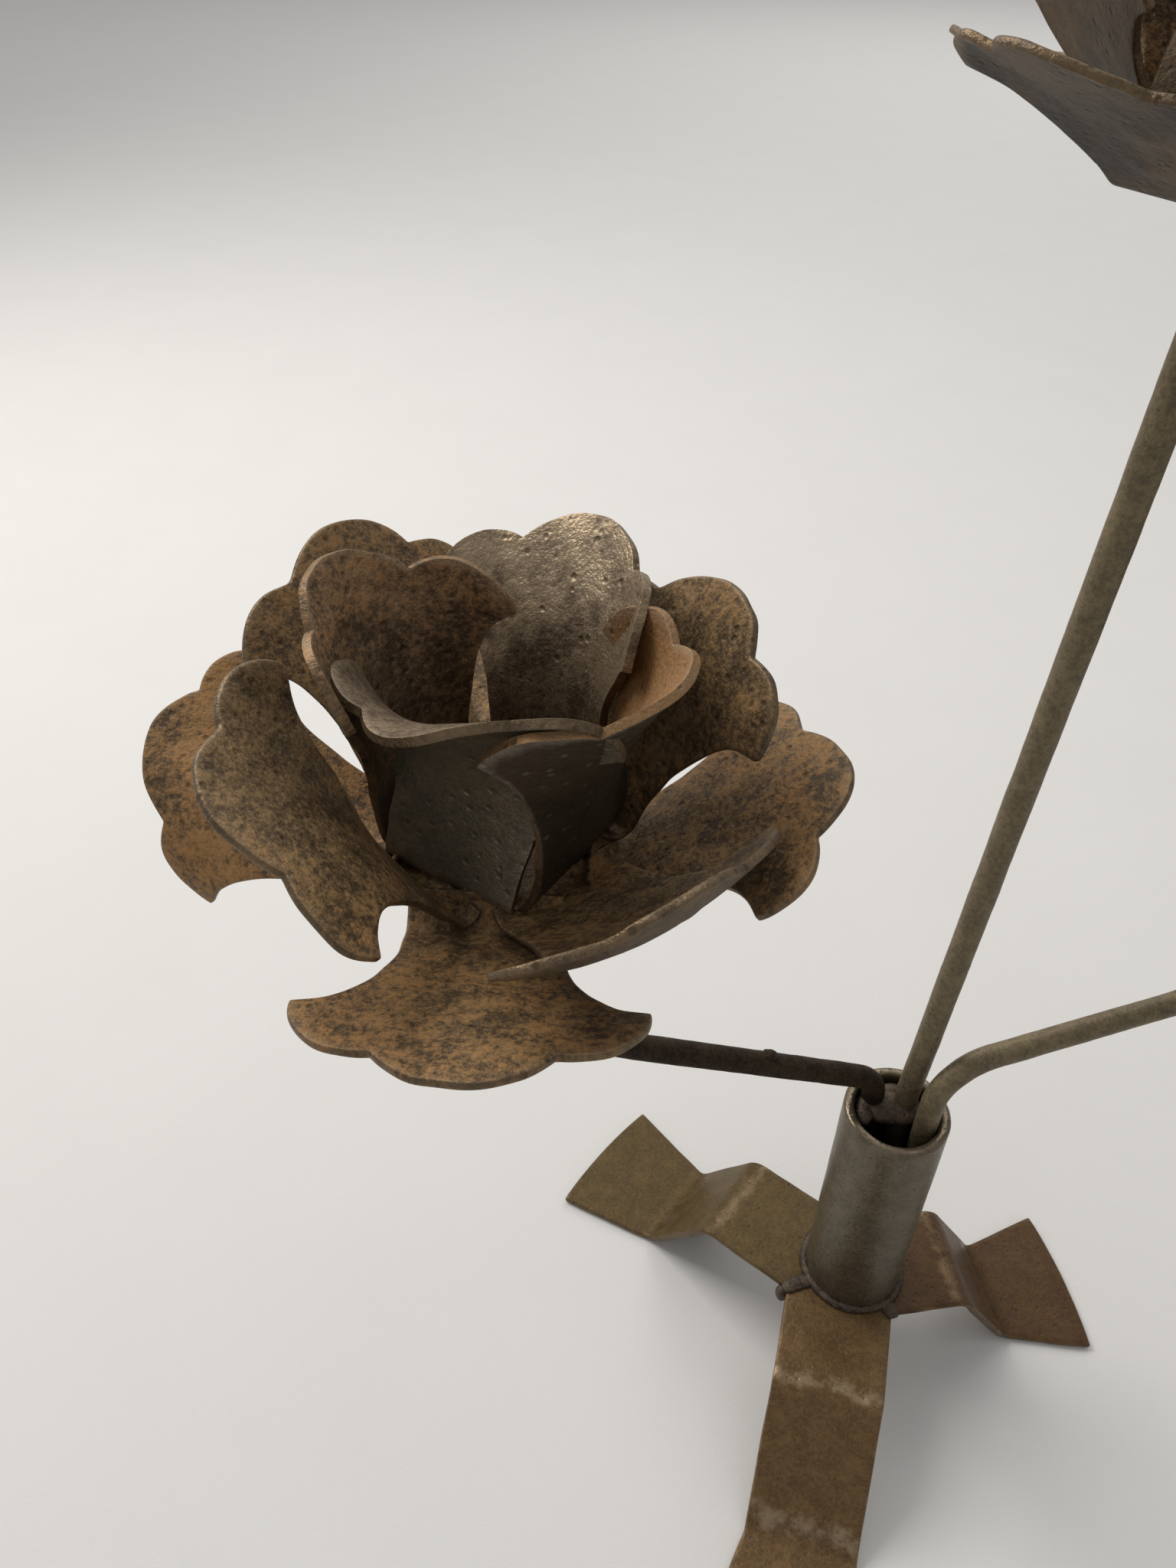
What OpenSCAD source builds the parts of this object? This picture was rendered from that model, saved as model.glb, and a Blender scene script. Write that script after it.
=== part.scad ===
// Candle holder with three sheet-metal roses.
// Three bent flat-bar legs are welded together under a short pipe. Three
// round bars stand in the pipe, bend apart above its mouth and each carry a
// rose of three stacked sheets, whose innermost sheet is folded up as a
// candle cup. Everything is fixed, and nothing moves.
//
// Origin: on the pipe's axis, at the level that the feet stand on. Z is up
// and Y points away from the front leg.

/* [Pipe] */
// Outside diameter of the pipe
pipe_d = 26.9; // [25:0.1:34]
// Wall thickness of the pipe
pipe_wall = 2.65; // [1.5:0.05:2.7]
// Length of the pipe
pipe_len = 76; // [50:1:140]

/* [Legs] */
// Width of the flat bar
leg_w = 30; // [28:1:40]
// Thickness of the flat bar
leg_t = 3; // [2:0.25:5]
// Height of the legs' top face, where the pipe stands
leg_h = 29; // [20:1:45]
// Width of a flared toe
toe_w = 43; // [30:1:60]
// How far the end of a toe bulges
toe_bulge = 1.5; // [0.5:0.1:4]
// Radius of the bend at the shoulder, on its outer side
shoulder_r = 8; // [6:0.5:12]
// Radius of the bend at the heel, on its inner side
heel_r = 5; // [3:0.5:10]
// Pipe axis to the front leg's shoulder
front_shoulder = 39.6; // [34:0.1:50]
// Pipe axis to the front leg's heel
front_heel = 68.2; // [60:0.1:80]
// Pipe axis to the front leg's toe
front_toe = 98; // [90:0.5:120]
// How far the front leg is set off the pipe's axis
front_shift = -2.1; // [-3:0.1:3]
// Pipe axis to the left leg's shoulder
left_shoulder = 40.5; // [34:0.1:48]
// Pipe axis to the left leg's heel
left_heel = 59.1; // [55:0.1:72]
// Pipe axis to the left leg's toe
left_toe = 89; // [82:0.5:110]
// How far the left leg is set off the pipe's axis
left_shift = 3; // [-3:0.1:3]
// Pipe axis to the right leg's shoulder
right_shoulder = 30.5; // [28:0.1:36]
// Pipe axis to the right leg's heel
right_heel = 47.6; // [44:0.1:56]
// Pipe axis to the right leg's toe
right_toe = 71.9; // [68:0.5:95]
// How far the right leg is set off the pipe's axis
right_shift = -1; // [-3:0.1:3]

/* [Stems] */
// Diameter of the round bars
bar_d = 6; // [5:0.1:6.5]
// Left bar: how deep in the pipe's mouth its first bend starts
left_sink = 1.4; // [0:0.1:1.5]
// Left bar: radius of the bend over the pipe's mouth
left_mouth_r = 11; // [9:0.5:20]
// Left bar: length of its first slope
left_slope = 68.4; // [50:0.1:90]
// Left bar: radius of its middle bend
left_mid_r = 40; // [30:1:60]
// Left bar: length of its second slope
left_climb = 53.5; // [40:0.1:80]
// Left bar: radius of the bend under the rose
left_neck_r = 30; // [20:1:50]
// Left bar: straight end under the rose
left_end = 7; // [5:0.1:20]
// Tall bar: how deep in the pipe's mouth its bend starts
tall_sink = 1; // [0:0.1:1.5]
// Tall bar: radius of its slight bend
tall_mid_r = 60; // [30:1:90]
// Tall bar: length from the bend to the rose
tall_climb = 212.9; // [150:0.1:260]
// Right bar: how far over the pipe's mouth its first bend starts
right_stand = 6.8; // [0:0.1:30]
// Right bar: radius of the bend over the pipe's mouth
right_mouth_r = 14; // [10:0.5:20]
// Right bar: level length
right_reach = 50; // [40:1:80]
// Right bar: radius of the bend under the rose
right_neck_r = 38; // [20:1:60]
// Right bar: straight end under the rose
right_end = 34; // [10:1:80]

/* [Rose blanks] */
// Thickness of the sheets
sheet_t = 1.2; // [0.8:0.1:1.4]
// Half of a petal's width at its root
neck_w = 10.8; // [9:0.1:10.8]
// Centre of the blank to where a petal starts to widen
neck_len = 22; // [20:0.5:28]
// Centre of the blank to a petal's widest place
wing_len = 40; // [36:0.5:44]
// Half of a petal's greatest width
wing_w = 21.4; // [17:0.1:23]
// Centre of the blank to the notches beside the middle lobe
notch_len = 49.6; // [46:0.1:52]
// Half of the middle lobe's width, between the notches
notch_w = 10.5; // [8:0.1:13]
// Centre of the blank to the tip of the middle lobe
tip_len = 55.6; // [54:0.1:60]
// How far a side lobe bulges
side_bulge = 3.4; // [2:0.1:4.5]
// How much bigger the middle sheet's petals are
middle_grow_share = 1.04; // [1:0.01:1.08]
// Centre to the fold of the cup sheet
cup_fold = 10.9; // [10.9:0.1:12]
// Centre to the fold of the middle sheet
middle_fold = 13.4; // [13.2:0.1:14.5]
// Centre to the fold of the outer sheet
outer_fold = 17.2; // [16.8:0.1:18]
// Diameter of the bar's end that goes through the sheets
peg_d = 4.2; // [3:0.1:4.6]
// Play of that end in the sheets' holes, on the diameter
peg_play = 0.2; // [0.1:0.05:0.4]

/* [Hidden] */
$fn = 64;

// Degrees in a radian
deg = 180 / PI;
// Cuts run over by this much
over = 1;
// Facets of a leg's bend and of its toe
bend_steps = 10;
toe_steps = 12;

// Legs: direction of each one, counted from +X
front_az = -105.3;
left_az = 141.7;
right_az = 9.6;

// Beads of weld on the legs and around the pipe
bead_w = 5;
bead_h = 1.5;
fillet = 2.2;
// Size of the drip at the front left notch
drip_d = 6;

// Stems: place of each bar in the pipe, as shares of the pipe's free radius
seat_r = pipe_d / 2 - pipe_wall - bar_d / 2;
left_seat_share = 0.965;
left_seat_az = 133.9;
tall_seat_share = 0.726;
tall_seat_az = 54.3;
right_seat_share = 0.962;
right_seat_az = -27.9;
// Weld in the mouth: how deep it lies, its height and its front edge
mouth_sink = 1.5;
mouth_weld_h = 5;
mouth_weld_y = -1;
// Sides of a round bar, and degrees from ring to ring in its bends
bar_sides = 20;
bar_step_angle = 6;

// Stems as steps of length, direction of the bend, its angle and its radius
left_path = [
    [pipe_len - left_sink, 198.6, 60.2, left_mouth_r],
    [left_slope, -9.4, 46.9, left_mid_r],
    [left_climb, 57.8, 25.9, left_neck_r],
    [left_end]
];
tall_path = [
    [pipe_len - tall_sink, -42, 2.5, tall_mid_r],
    [tall_climb]
];
right_path = [
    [pipe_len + right_stand, 18, 87.9, right_mouth_r],
    [right_reach, 198, 86, right_neck_r],
    [right_end]
];

// Peened head over the sheets, and the bead of weld under them
head_d = 8;
head_h = 1.2;
rose_bead = 2.4;

// Blank: radii of the folds, and where a petal's sides and tip start to curl
cup_fold_r = 1.5;
middle_fold_r = 2;
outer_fold_r = 4;
curl_len = 28;
side_curl_from = 15;
side_curl_to = 34;

// Grid of a petal: rows from fold to widest place, points on the rim
grid_rows = 6;
side_lobe_steps = 3;
middle_lobe_steps = 4;

// Below this curvature, in degrees per length, an arc is drawn straight
flat_bend_share = 0.001;

// Petals in degrees: fold, sweep, tip curl, left curl, right curl, twist and
// sideways lean. Four rows, one for each petal, counterclockwise from turn.
left_outer_az = -93;
left_outer_angles = [
    [23, 9, -13, 0, 0, 3, 3],
    [44, 2, -12, 0, 0, 2, -10],
    [16, 4, 0, 4, 6, 0, 0],
    [17, -6, 0, -78, 5, -34, -13]
];
left_middle_az = -138;
left_middle_angles = [
    [59, 9, -42, -17, 48, -15, 3],
    [26, 11, 35, 17, 25, -3, -11],
    [84, -6, -11, -12, 9, -13, -22],
    [49, 0, 4, 3, -14, 5, -4]
];
left_cup_az = -122.7;
left_cup_angles = [
    [96, 2, -87, 0, 57, 27, 9],
    [65, 34, -46, 81, 66, 4, -3],
    [89, -11, -38, 27, 57, -10, 0],
    [88, -9, -14, 61, 73, 6, 11]
];
tall_outer_az = -138.2;
tall_outer_angles = [
    [34, -6, -4, 22, 2, -8, -12],
    [24, 6, 4, 0, 5, -3, 0],
    [25, 4, -6, 6, 4, 2, 0],
    [20, 6, -30, 14, 6, 11, -11]
];
tall_middle_az = -172.9;
tall_middle_angles = [
    [45.5, 9, 10, -3, 2, 2, -8],
    [60, 2, 6, 10, 12, -4, 0],
    [62, 0, -8, 12, 10, 4, -3],
    [62, 2, -4, 8, 8, 3, 0]
];
tall_cup_az = -161;
tall_cup_angles = [
    [88, 2, -22, 55, 60, 0, 0],
    [86, 0, -30, 58, 56, 3, 0],
    [90, -4, -18, 54, 58, -2, 0],
    [87, 2, -26, 58, 54, 0, 0]
];
right_outer_az = 24;
right_outer_angles = [
    [22, 8, -6, 6, 2, -3, 2],
    [30, 4, 4, 0, 6, 3, -2],
    [18, 10, -4, 5, 5, 0, 3],
    [26, 2, 8, 4, 0, 5, 0]
];
right_middle_az = 70;
right_middle_angles = [
    [55, 2, -8, 12, 10, 4, 0],
    [48, 6, 10, 10, 14, -3, 3],
    [62, -2, 4, 14, 12, 0, -2],
    [52, 4, -10, 8, 12, 5, 0]
];
right_cup_az = 82;
right_cup_angles = [
    [87, 0, -24, 62, 60, 0, 0],
    [89, -2, -20, 60, 64, 2, 0],
    [86, 2, -30, 64, 60, -3, 0],
    [88, 0, -26, 60, 62, 0, 0]
];

/* Shapes shared by several pieces */

// Point where two lines meet, each given by its normal and its distance
function meet(n1, d1, n2, d2) =
    let (det = n1.x * n2.y - n1.y * n2.x)
    [(d1 * n2.y - d2 * n1.y) / det, (n1.x * d2 - n2.x * d1) / det];

// Points of an arc around c
function arc(c, r, from, to, steps) =
    [for (i = [0 : steps]) let (a = from + (to - from) * i / steps) c + r * [cos(a), sin(a)]];

// Arc from p to q that bulges to the left of that direction
function bulge(p, q, rise, steps) =
    let (
        d = q - p,
        chord = norm(d),
        r = (chord * chord / 4 + rise * rise) / (2 * rise),
        side = [-d.y, d.x] / chord,
        c = (p + q) / 2 + side * (rise - r),
        half = asin(chord / 2 / r),
        mid = atan2(side.y, side.x)
    )
    arc(c, r, mid + half, mid - half, steps);

// Way along and up of an arc that starts at slope th and turns k per length
function arc_run(th, k, d) =
    abs(k) < flat_bend_share ? d * [cos(th), sin(th)]
    : let (t = th + k * d) deg / k * [sin(t) - sin(th), cos(th) - cos(t)];

function smooth(x) = let (w = min(1, max(0, x))) w * w * (3 - 2 * w);

/* Legs */

// Side view of a leg's bar, from the pipe's axis to past the toe
function leg_profile(shoulder, heel, toe) =
    let (
        drop = leg_h - leg_t,
        slope = atan2(drop, heel - shoulder),
        top_c = [shoulder - shoulder_r * tan(slope / 2), leg_h - shoulder_r],
        low_c = [heel + heel_r * tan(slope / 2), leg_t + heel_r]
    )
    concat(
        [[0, leg_h]],
        arc(top_c, shoulder_r, 90, 90 - slope, bend_steps),
        arc(low_c, heel_r, 270 - slope, 270, bend_steps),
        [[toe + toe_bulge + over, leg_t], [toe + toe_bulge + over, 0]],
        arc(low_c, heel_r + leg_t, 270, 270 - slope, bend_steps),
        arc(top_c, shoulder_r - leg_t, 90 - slope, 90, bend_steps),
        [[0, leg_h - leg_t]]
    );

function side_of(az) = [-sin(az), cos(az)];

// Notch between a leg and the next one counterclockwise
function notch(az, shift, next_az, next_shift) =
    meet(side_of(az), shift + leg_w / 2, side_of(next_az), next_shift - leg_w / 2);

right_left_notch = notch(right_az, right_shift, left_az, left_shift);
left_front_notch = notch(left_az, left_shift, front_az, front_shift);
front_right_notch = notch(front_az, front_shift, right_az, right_shift);

// Leg along az, between the notches before and after it
module leg(az, shift, shoulder, heel, toe, before, after) {
    own = [[cos(az), sin(az)], [-sin(az), cos(az)]];
    outline = concat(
        [[0, 0], own * after, [heel, shift + leg_w / 2]],
        bulge([toe, shift + toe_w / 2], [toe, shift - toe_w / 2], toe_bulge, toe_steps),
        [[heel, shift - leg_w / 2], own * before]
    );
    color("#6b4a3a")
    rotate([0, 0, az])
    intersection() {
        rotate([90, 0, 0])
            linear_extrude(2 * toe_w, center = true)
                polygon(leg_profile(shoulder, heel, toe));
        linear_extrude(leg_h + over)
            polygon(outline);
    }
}

module leg_front() {
    leg(front_az, front_shift, front_shoulder, front_heel, front_toe,
        left_front_notch, front_right_notch);
}

module leg_left() {
    leg(left_az, left_shift, left_shoulder, left_heel, left_toe,
        right_left_notch, left_front_notch);
}

module leg_right() {
    leg(right_az, right_shift, right_shoulder, right_heel, right_toe,
        front_right_notch, right_left_notch);
}

// Round bead that lies on the legs from the pipe's weld out to a notch
module seam(to) {
    r = (bead_w * bead_w / 4 + bead_h * bead_h) / (2 * bead_h);
    from = pipe_d / 2 + fillet;
    length = norm(to) - from;
    translate([0, 0, leg_h])
    rotate([0, 0, atan2(to.y, to.x)])
    intersection() {
        translate([from, 0, bead_h - r])
        rotate([0, 90, 0])
            cylinder(h = length, r = r);
        translate([from - over, -bead_w, 0])
            cube([length + 2 * over, 2 * bead_w, bead_w]);
    }
}

// Drip of weld in the notch between the left and front legs. It touches the
// side of each leg.
module drip() {
    half = (front_az + 360 - left_az) / 2;
    reach = drip_d / 2 / sin(half);
    place = left_front_notch + reach * [cos(left_az + half), sin(left_az + half)];
    translate([place.x, place.y, leg_h - leg_t / 2])
        sphere(d = drip_d);
}

module leg_welds() {
    color("#3d2e28") {
        seam(left_front_notch);
        seam(front_right_notch);
        drip();
    }
}

/* Pipe */

module socket_pipe() {
    color("#565548")
    translate([0, 0, leg_h])
    difference() {
        cylinder(h = pipe_len, d = pipe_d);
        translate([0, 0, -over])
            cylinder(h = pipe_len + 2 * over, d = pipe_d - 2 * pipe_wall);
    }
}

module pipe_base_weld() {
    r = pipe_d / 2;
    color("#3a3029")
    translate([0, 0, leg_h])
    rotate_extrude()
        polygon([[r, 0], [r + fillet, 0], [r + 0.7 * fillet, 0.55 * fillet], [r, fillet]]);
}

/* Stems */

function lift_m(h) = [[1, 0, 0, 0], [0, 1, 0, 0], [0, 0, 1, h], [0, 0, 0, 1]];
function turn_m(a) = [[cos(a), -sin(a), 0, 0], [sin(a), cos(a), 0, 0], [0, 0, 1, 0], [0, 0, 0, 1]];
function tip_m(a, r) =
    let (c = cos(a), s = sin(a))
    [[c, 0, s, r * (1 - c)], [0, 1, 0, 0], [-s, 0, c, r * s], [0, 0, 0, 1]];
function bend_m(toward, a, r) = turn_m(toward) * tip_m(a, r) * turn_m(-toward);

// Frames round a bend that starts at m, and at its end
function bend_frames(m, toward, a, r) =
    let (rings = ceil(a / bar_step_angle))
    [for (k = [1 : rings]) m * bend_m(toward, a * k / rings, r)];

// Frames along a bar: at its foot, then round each bend to its end
function bar_frames(path, m, i = 0) =
    let (step = path[i], top = m * lift_m(step[0]))
    len(step) == 1 ? [m, top]
    : let (round = bend_frames(top, step[1], step[2], step[3]), last = len(round) - 1)
    concat(
        [m, top],
        [for (k = [0 : last - 1]) round[k]],
        bar_frames(path, round[last], i + 1)
    );

// Foot of a bar on the legs, inside the pipe
function foot_m(az, share) =
    let (place = share * seat_r * [cos(az), sin(az)])
    [[1, 0, 0, place.x], [0, 1, 0, place.y], [0, 0, 1, leg_h], [0, 0, 0, 1]];

left_frames = bar_frames(left_path, foot_m(left_seat_az, left_seat_share));
tall_frames = bar_frames(tall_path, foot_m(tall_seat_az, tall_seat_share));
right_frames = bar_frames(right_path, foot_m(right_seat_az, right_seat_share));

// Round bar through its frames, with a peened peg at its end
module bar(frames) {
    points = [
        for (m = frames) for (k = [0 : bar_sides - 1])
            let (a = 360 * k / bar_sides, p = m * [bar_d / 2 * cos(a), bar_d / 2 * sin(a), 0, 1])
            [p.x, p.y, p.z]
    ];
    last = len(frames) - 1;
    skin = [
        for (j = [0 : last - 1]) for (k = [0 : bar_sides - 1])
            let (a = j * bar_sides + k, b = j * bar_sides + (k + 1) % bar_sides)
            each [[a, a + bar_sides, b + bar_sides], [a, b + bar_sides, b]]
    ];
    ends = [
        [for (k = [0 : bar_sides - 1]) k],
        [for (k = [bar_sides - 1 : -1 : 0]) last * bar_sides + k]
    ];
    polyhedron(points, concat(skin, ends), convexity = 10);
    multmatrix(frames[last])
        peg();
}

module peg() {
    stack = 3 * sheet_t;
    r = (head_d * head_d / 4 + head_h * head_h) / (2 * head_h);
    translate([0, 0, -over])
        cylinder(h = over + stack + head_h / 2, d = peg_d);
    translate([0, 0, stack])
    intersection() {
        translate([0, 0, head_h - r])
            sphere(r);
        cylinder(h = head_h + over, d = head_d + over);
    }
}

module stem_left() {
    color("#4a3e2f")
        bar(left_frames);
}

module stem_tall() {
    color("#4f4636")
        bar(tall_frames);
}

module stem_right() {
    color("#6b5b42")
        bar(right_frames);
}

// Hole for a bar in the weld that holds it
module bar_hole(az, share) {
    rotate([0, 0, az])
    translate([share * seat_r, 0, 0])
        cylinder(h = leg_h + pipe_len, d = bar_d);
}

// Weld that fills the back of the pipe's mouth around the three bars
module mouth_weld() {
    bore_r = pipe_d / 2 - pipe_wall;
    color("#352a24")
    difference() {
        intersection() {
            translate([0, 0, leg_h + pipe_len - mouth_sink - mouth_weld_h])
                cylinder(h = mouth_weld_h, r = bore_r);
            translate([-pipe_d, mouth_weld_y, 0])
                cube([2 * pipe_d, pipe_d, leg_h + pipe_len]);
        }
        bar_hole(left_seat_az, left_seat_share);
        bar_hole(tall_seat_az, tall_seat_share);
        bar_hole(right_seat_az, right_seat_share);
    }
}

/* Roses */

// Rim of a petal from its right to its left widest place, as [out, sideways].
// grow says how much bigger the petal is than the sizes above.
function flip(points) = [for (p = points) [p.y, p.x]];
function rim(grow) =
    let (
        wing = grow * [-wing_w, wing_len],
        right = grow * [-notch_w, notch_len],
        left = grow * [notch_w, notch_len],
        side_lobe = bulge(wing, right, side_bulge, side_lobe_steps),
        middle_lobe = bulge(right, left, grow * (tip_len - notch_len), middle_lobe_steps)
    )
    flip(concat(
        [for (i = [0 : side_lobe_steps - 1]) side_lobe[i]],
        middle_lobe,
        [for (i = [side_lobe_steps - 1 : -1 : 0]) [-side_lobe[i].x, side_lobe[i].y]]
    ));
columns = 2 * side_lobe_steps + middle_lobe_steps;

// Half width of a petal, this far out from the blank's centre
function side_half(out, grow) =
    out <= neck_len ? neck_w
    : let (x = (out - neck_len) / (grow * wing_len - neck_len), w = grow * wing_w)
        w - (w - neck_w) * sqrt(max(0, 1 - x * x));

// Places on the flat blank, row by row from the fold to the rim
function blank_points(fold, grow) =
    let (edge = rim(grow))
    [
        for (j = [0 : grid_rows]) for (i = [0 : columns])
            let (
                v = sin(90 * j / grid_rows),
                out = fold + (grow * wing_len - fold) * v,
                u = 2 * i / columns - 1,
                share = v * v
            )
            [
                fold + (edge[i].x - fold) * v,
                side_half(out, grow) * ((1 - share) * u + share * edge[i].y / (grow * wing_w))
            ]
    ];

// Place and normal of a blank point on the bent petal, as [out, side, up]
function bent(p, fold, fold_r, grow, petal) =
    let (
        petal_len = grow * tip_len,
        x = p.x - fold,
        fold_len = abs(petal[0]) * fold_r / deg,
        sweep_len = max(curl_len - fold, fold_len) - fold_len,
        d1 = min(x, fold_len),
        d2 = min(max(x - fold_len, 0), sweep_len),
        d3 = max(x - fold_len - sweep_len, 0),
        k1 = sign(petal[0]) * deg / fold_r,
        k2 = petal[1] / (petal_len - fold),
        k3 = k2 + petal[2] / (petal_len - curl_len),
        a1 = k1 * d1,
        a2 = a1 + k2 * d2,
        a3 = a2 + k3 * d3,
        spine = arc_run(0, k1, d1) + arc_run(a1, k2, d2) + arc_run(a2, k3, d3),
        curl = (p.y > 0 ? petal[3] : petal[4])
            * smooth((p.x - side_curl_from) / (side_curl_to - side_curl_from)) / (grow * wing_w),
        across = arc_run(0, curl, abs(p.y)),
        twist = petal[5] * x / (petal_len - fold),
        lean = tan(petal[6]) * x,
        up = [-sin(a3), 0, cos(a3)],
        side = [0, 1, 0],
        tw_side = cos(twist) * side + sin(twist) * up,
        tw_up = cos(twist) * up - sin(twist) * side,
        way = sign(p.y) * across.x * tw_side + across.y * tw_up,
        tilt = curl * p.y
    )
    [
        [fold + spine.x, lean, spine.y] + way,
        cos(tilt) * tw_up - sin(tilt) * tw_side
    ];

// One face of a petal, offset by half the sheet: row by row
function petal_face(blank, fold, fold_r, grow, petal, offset) = [
    for (p = blank) let (b = bent(p, fold, fold_r, grow, petal)) b[0] + offset * b[1]
];

function turned(p, a) = [p.x * cos(a) - p.y * sin(a), p.x * sin(a) + p.y * cos(a), p.z];

// Sheet with its four petals folded up, its underside at z = 0
module sheet(petals, turn, fold, fold_r, grow) {
    blank = blank_points(fold, grow);
    per_face = len(blank);
    points = concat(
        [
            for (k = [0 : 3]) for (side = [1, -1])
                for (p = petal_face(blank, fold, fold_r, grow, petals[k], side * sheet_t / 2))
                    turned(p, turn + 90 * k)
        ],
        [[0, 0, sheet_t / 2], [0, 0, -sheet_t / 2]]
    );
    // Number of a point: petal, face, column and row
    function at(k, f, i, j) = (2 * (k % 4) + f) * per_face + j * (columns + 1) + i;
    skin = [
        for (k = [0 : 3]) for (j = [0 : grid_rows - 1]) for (i = [0 : columns - 1])
            let (
                a = at(k, 0, i, j),
                b = at(k, 0, i + 1, j),
                c = at(k, 0, i + 1, j + 1),
                d = at(k, 0, i, j + 1)
            )
            each [
                [a, b, c], [a, c, d],
                [a + per_face, c + per_face, b + per_face], [a + per_face, d + per_face, c + per_face]
            ]
    ];
    sides = [
        for (k = [0 : 3]) for (j = [0 : grid_rows - 1]) each [
            [at(k, 0, 0, j + 1), at(k, 1, 0, j + 1), at(k, 1, 0, j), at(k, 0, 0, j)],
            [
                at(k, 0, columns, j), at(k, 1, columns, j),
                at(k, 1, columns, j + 1), at(k, 0, columns, j + 1)
            ]
        ]
    ];
    rims = [
        for (k = [0 : 3]) for (i = [0 : columns - 1])
            let (top = at(k, 0, i, grid_rows), low = at(k, 1, i, grid_rows))
            [top + 1, low + 1, low, top]
    ];
    corners = [
        for (k = [0 : 3])
            [at(k + 1, 0, 0, 0), at(k + 1, 1, 0, 0), at(k, 1, columns, 0), at(k, 0, columns, 0)]
    ];
    centre = len(points) - 2;
    plate = [
        for (k = [0 : 3]) each concat(
            [for (i = [0 : columns - 1]) [centre, at(k, 0, i + 1, 0), at(k, 0, i, 0)]],
            [[centre, at(k + 1, 0, 0, 0), at(k, 0, columns, 0)]],
            [for (i = [0 : columns - 1]) [centre + 1, at(k, 1, i, 0), at(k, 1, i + 1, 0)]],
            [[centre + 1, at(k, 1, columns, 0), at(k + 1, 1, 0, 0)]]
        )
    ];
    translate([0, 0, sheet_t / 2])
    difference() {
        polyhedron(points, concat(skin, sides, rims, corners, plate), convexity = 10);
        cylinder(h = 2 * sheet_t, d = peg_d + peg_play, center = true);
    }
}

// Frame on a bar's end: z along the bar, turned back to the whole's own x
module on_bar(frames) {
    m = frames[len(frames) - 1];
    multmatrix(m)
    rotate([0, 0, -atan2(m[1][0], m[0][0])])
        children();
}

module outer_petals(petals, turn) {
    color("#5a3f30")
        sheet(petals, turn, outer_fold, outer_fold_r, 1);
}

module middle_petals(petals, turn) {
    color("#4f392d")
    translate([0, 0, sheet_t])
        sheet(petals, turn, middle_fold, middle_fold_r, middle_grow_share);
}

module cup_petals(petals, turn) {
    color("#57473a")
    translate([0, 0, 2 * sheet_t])
        sheet(petals, turn, cup_fold, cup_fold_r, 1);
}

// Bead of weld around a bar, under the outer sheet
module rose_weld() {
    r = bar_d / 2;
    color("#352a24")
    rotate_extrude()
        polygon([[r, 0], [r, -rose_bead], [r + 0.7 * rose_bead, -0.6 * rose_bead], [r + rose_bead, 0]]);
}

module left_outer_petals() {
    on_bar(left_frames) outer_petals(left_outer_angles, left_outer_az);
}

module left_middle_petals() {
    on_bar(left_frames) middle_petals(left_middle_angles, left_middle_az);
}

module left_cup_petals() {
    on_bar(left_frames) cup_petals(left_cup_angles, left_cup_az);
}

module left_rose_weld() {
    on_bar(left_frames) rose_weld();
}

module tall_outer_petals() {
    on_bar(tall_frames) outer_petals(tall_outer_angles, tall_outer_az);
}

module tall_middle_petals() {
    on_bar(tall_frames) middle_petals(tall_middle_angles, tall_middle_az);
}

module tall_cup_petals() {
    on_bar(tall_frames) cup_petals(tall_cup_angles, tall_cup_az);
}

module tall_rose_weld() {
    on_bar(tall_frames) rose_weld();
}

module right_outer_petals() {
    on_bar(right_frames) outer_petals(right_outer_angles, right_outer_az);
}

module right_middle_petals() {
    on_bar(right_frames) middle_petals(right_middle_angles, right_middle_az);
}

module right_cup_petals() {
    on_bar(right_frames) cup_petals(right_cup_angles, right_cup_az);
}

module right_rose_weld() {
    on_bar(right_frames) rose_weld();
}

leg_front();
leg_left();
leg_right();
leg_welds();
socket_pipe();
pipe_base_weld();
stem_left();
stem_tall();
stem_right();
mouth_weld();
left_outer_petals();
left_middle_petals();
left_cup_petals();
left_rose_weld();
tall_outer_petals();
tall_middle_petals();
tall_cup_petals();
tall_rose_weld();
right_outer_petals();
right_middle_petals();
right_cup_petals();
right_rose_weld();
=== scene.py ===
"""Looks of a candle holder: three sheet-metal roses on bent bars in a pipe stand.

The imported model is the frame. Every piece here stands for one of its nodes, in
the same place and size, with a finer form and a finish. Sizes are written in
millimetres and angles in degrees; a mesh is brought to metres at the very end.
"""

from __future__ import annotations

import logging
import math
from dataclasses import dataclass
from enum import Enum
from typing import Sequence

import bmesh
import bpy
from mathutils import Matrix, Vector, noise

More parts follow.
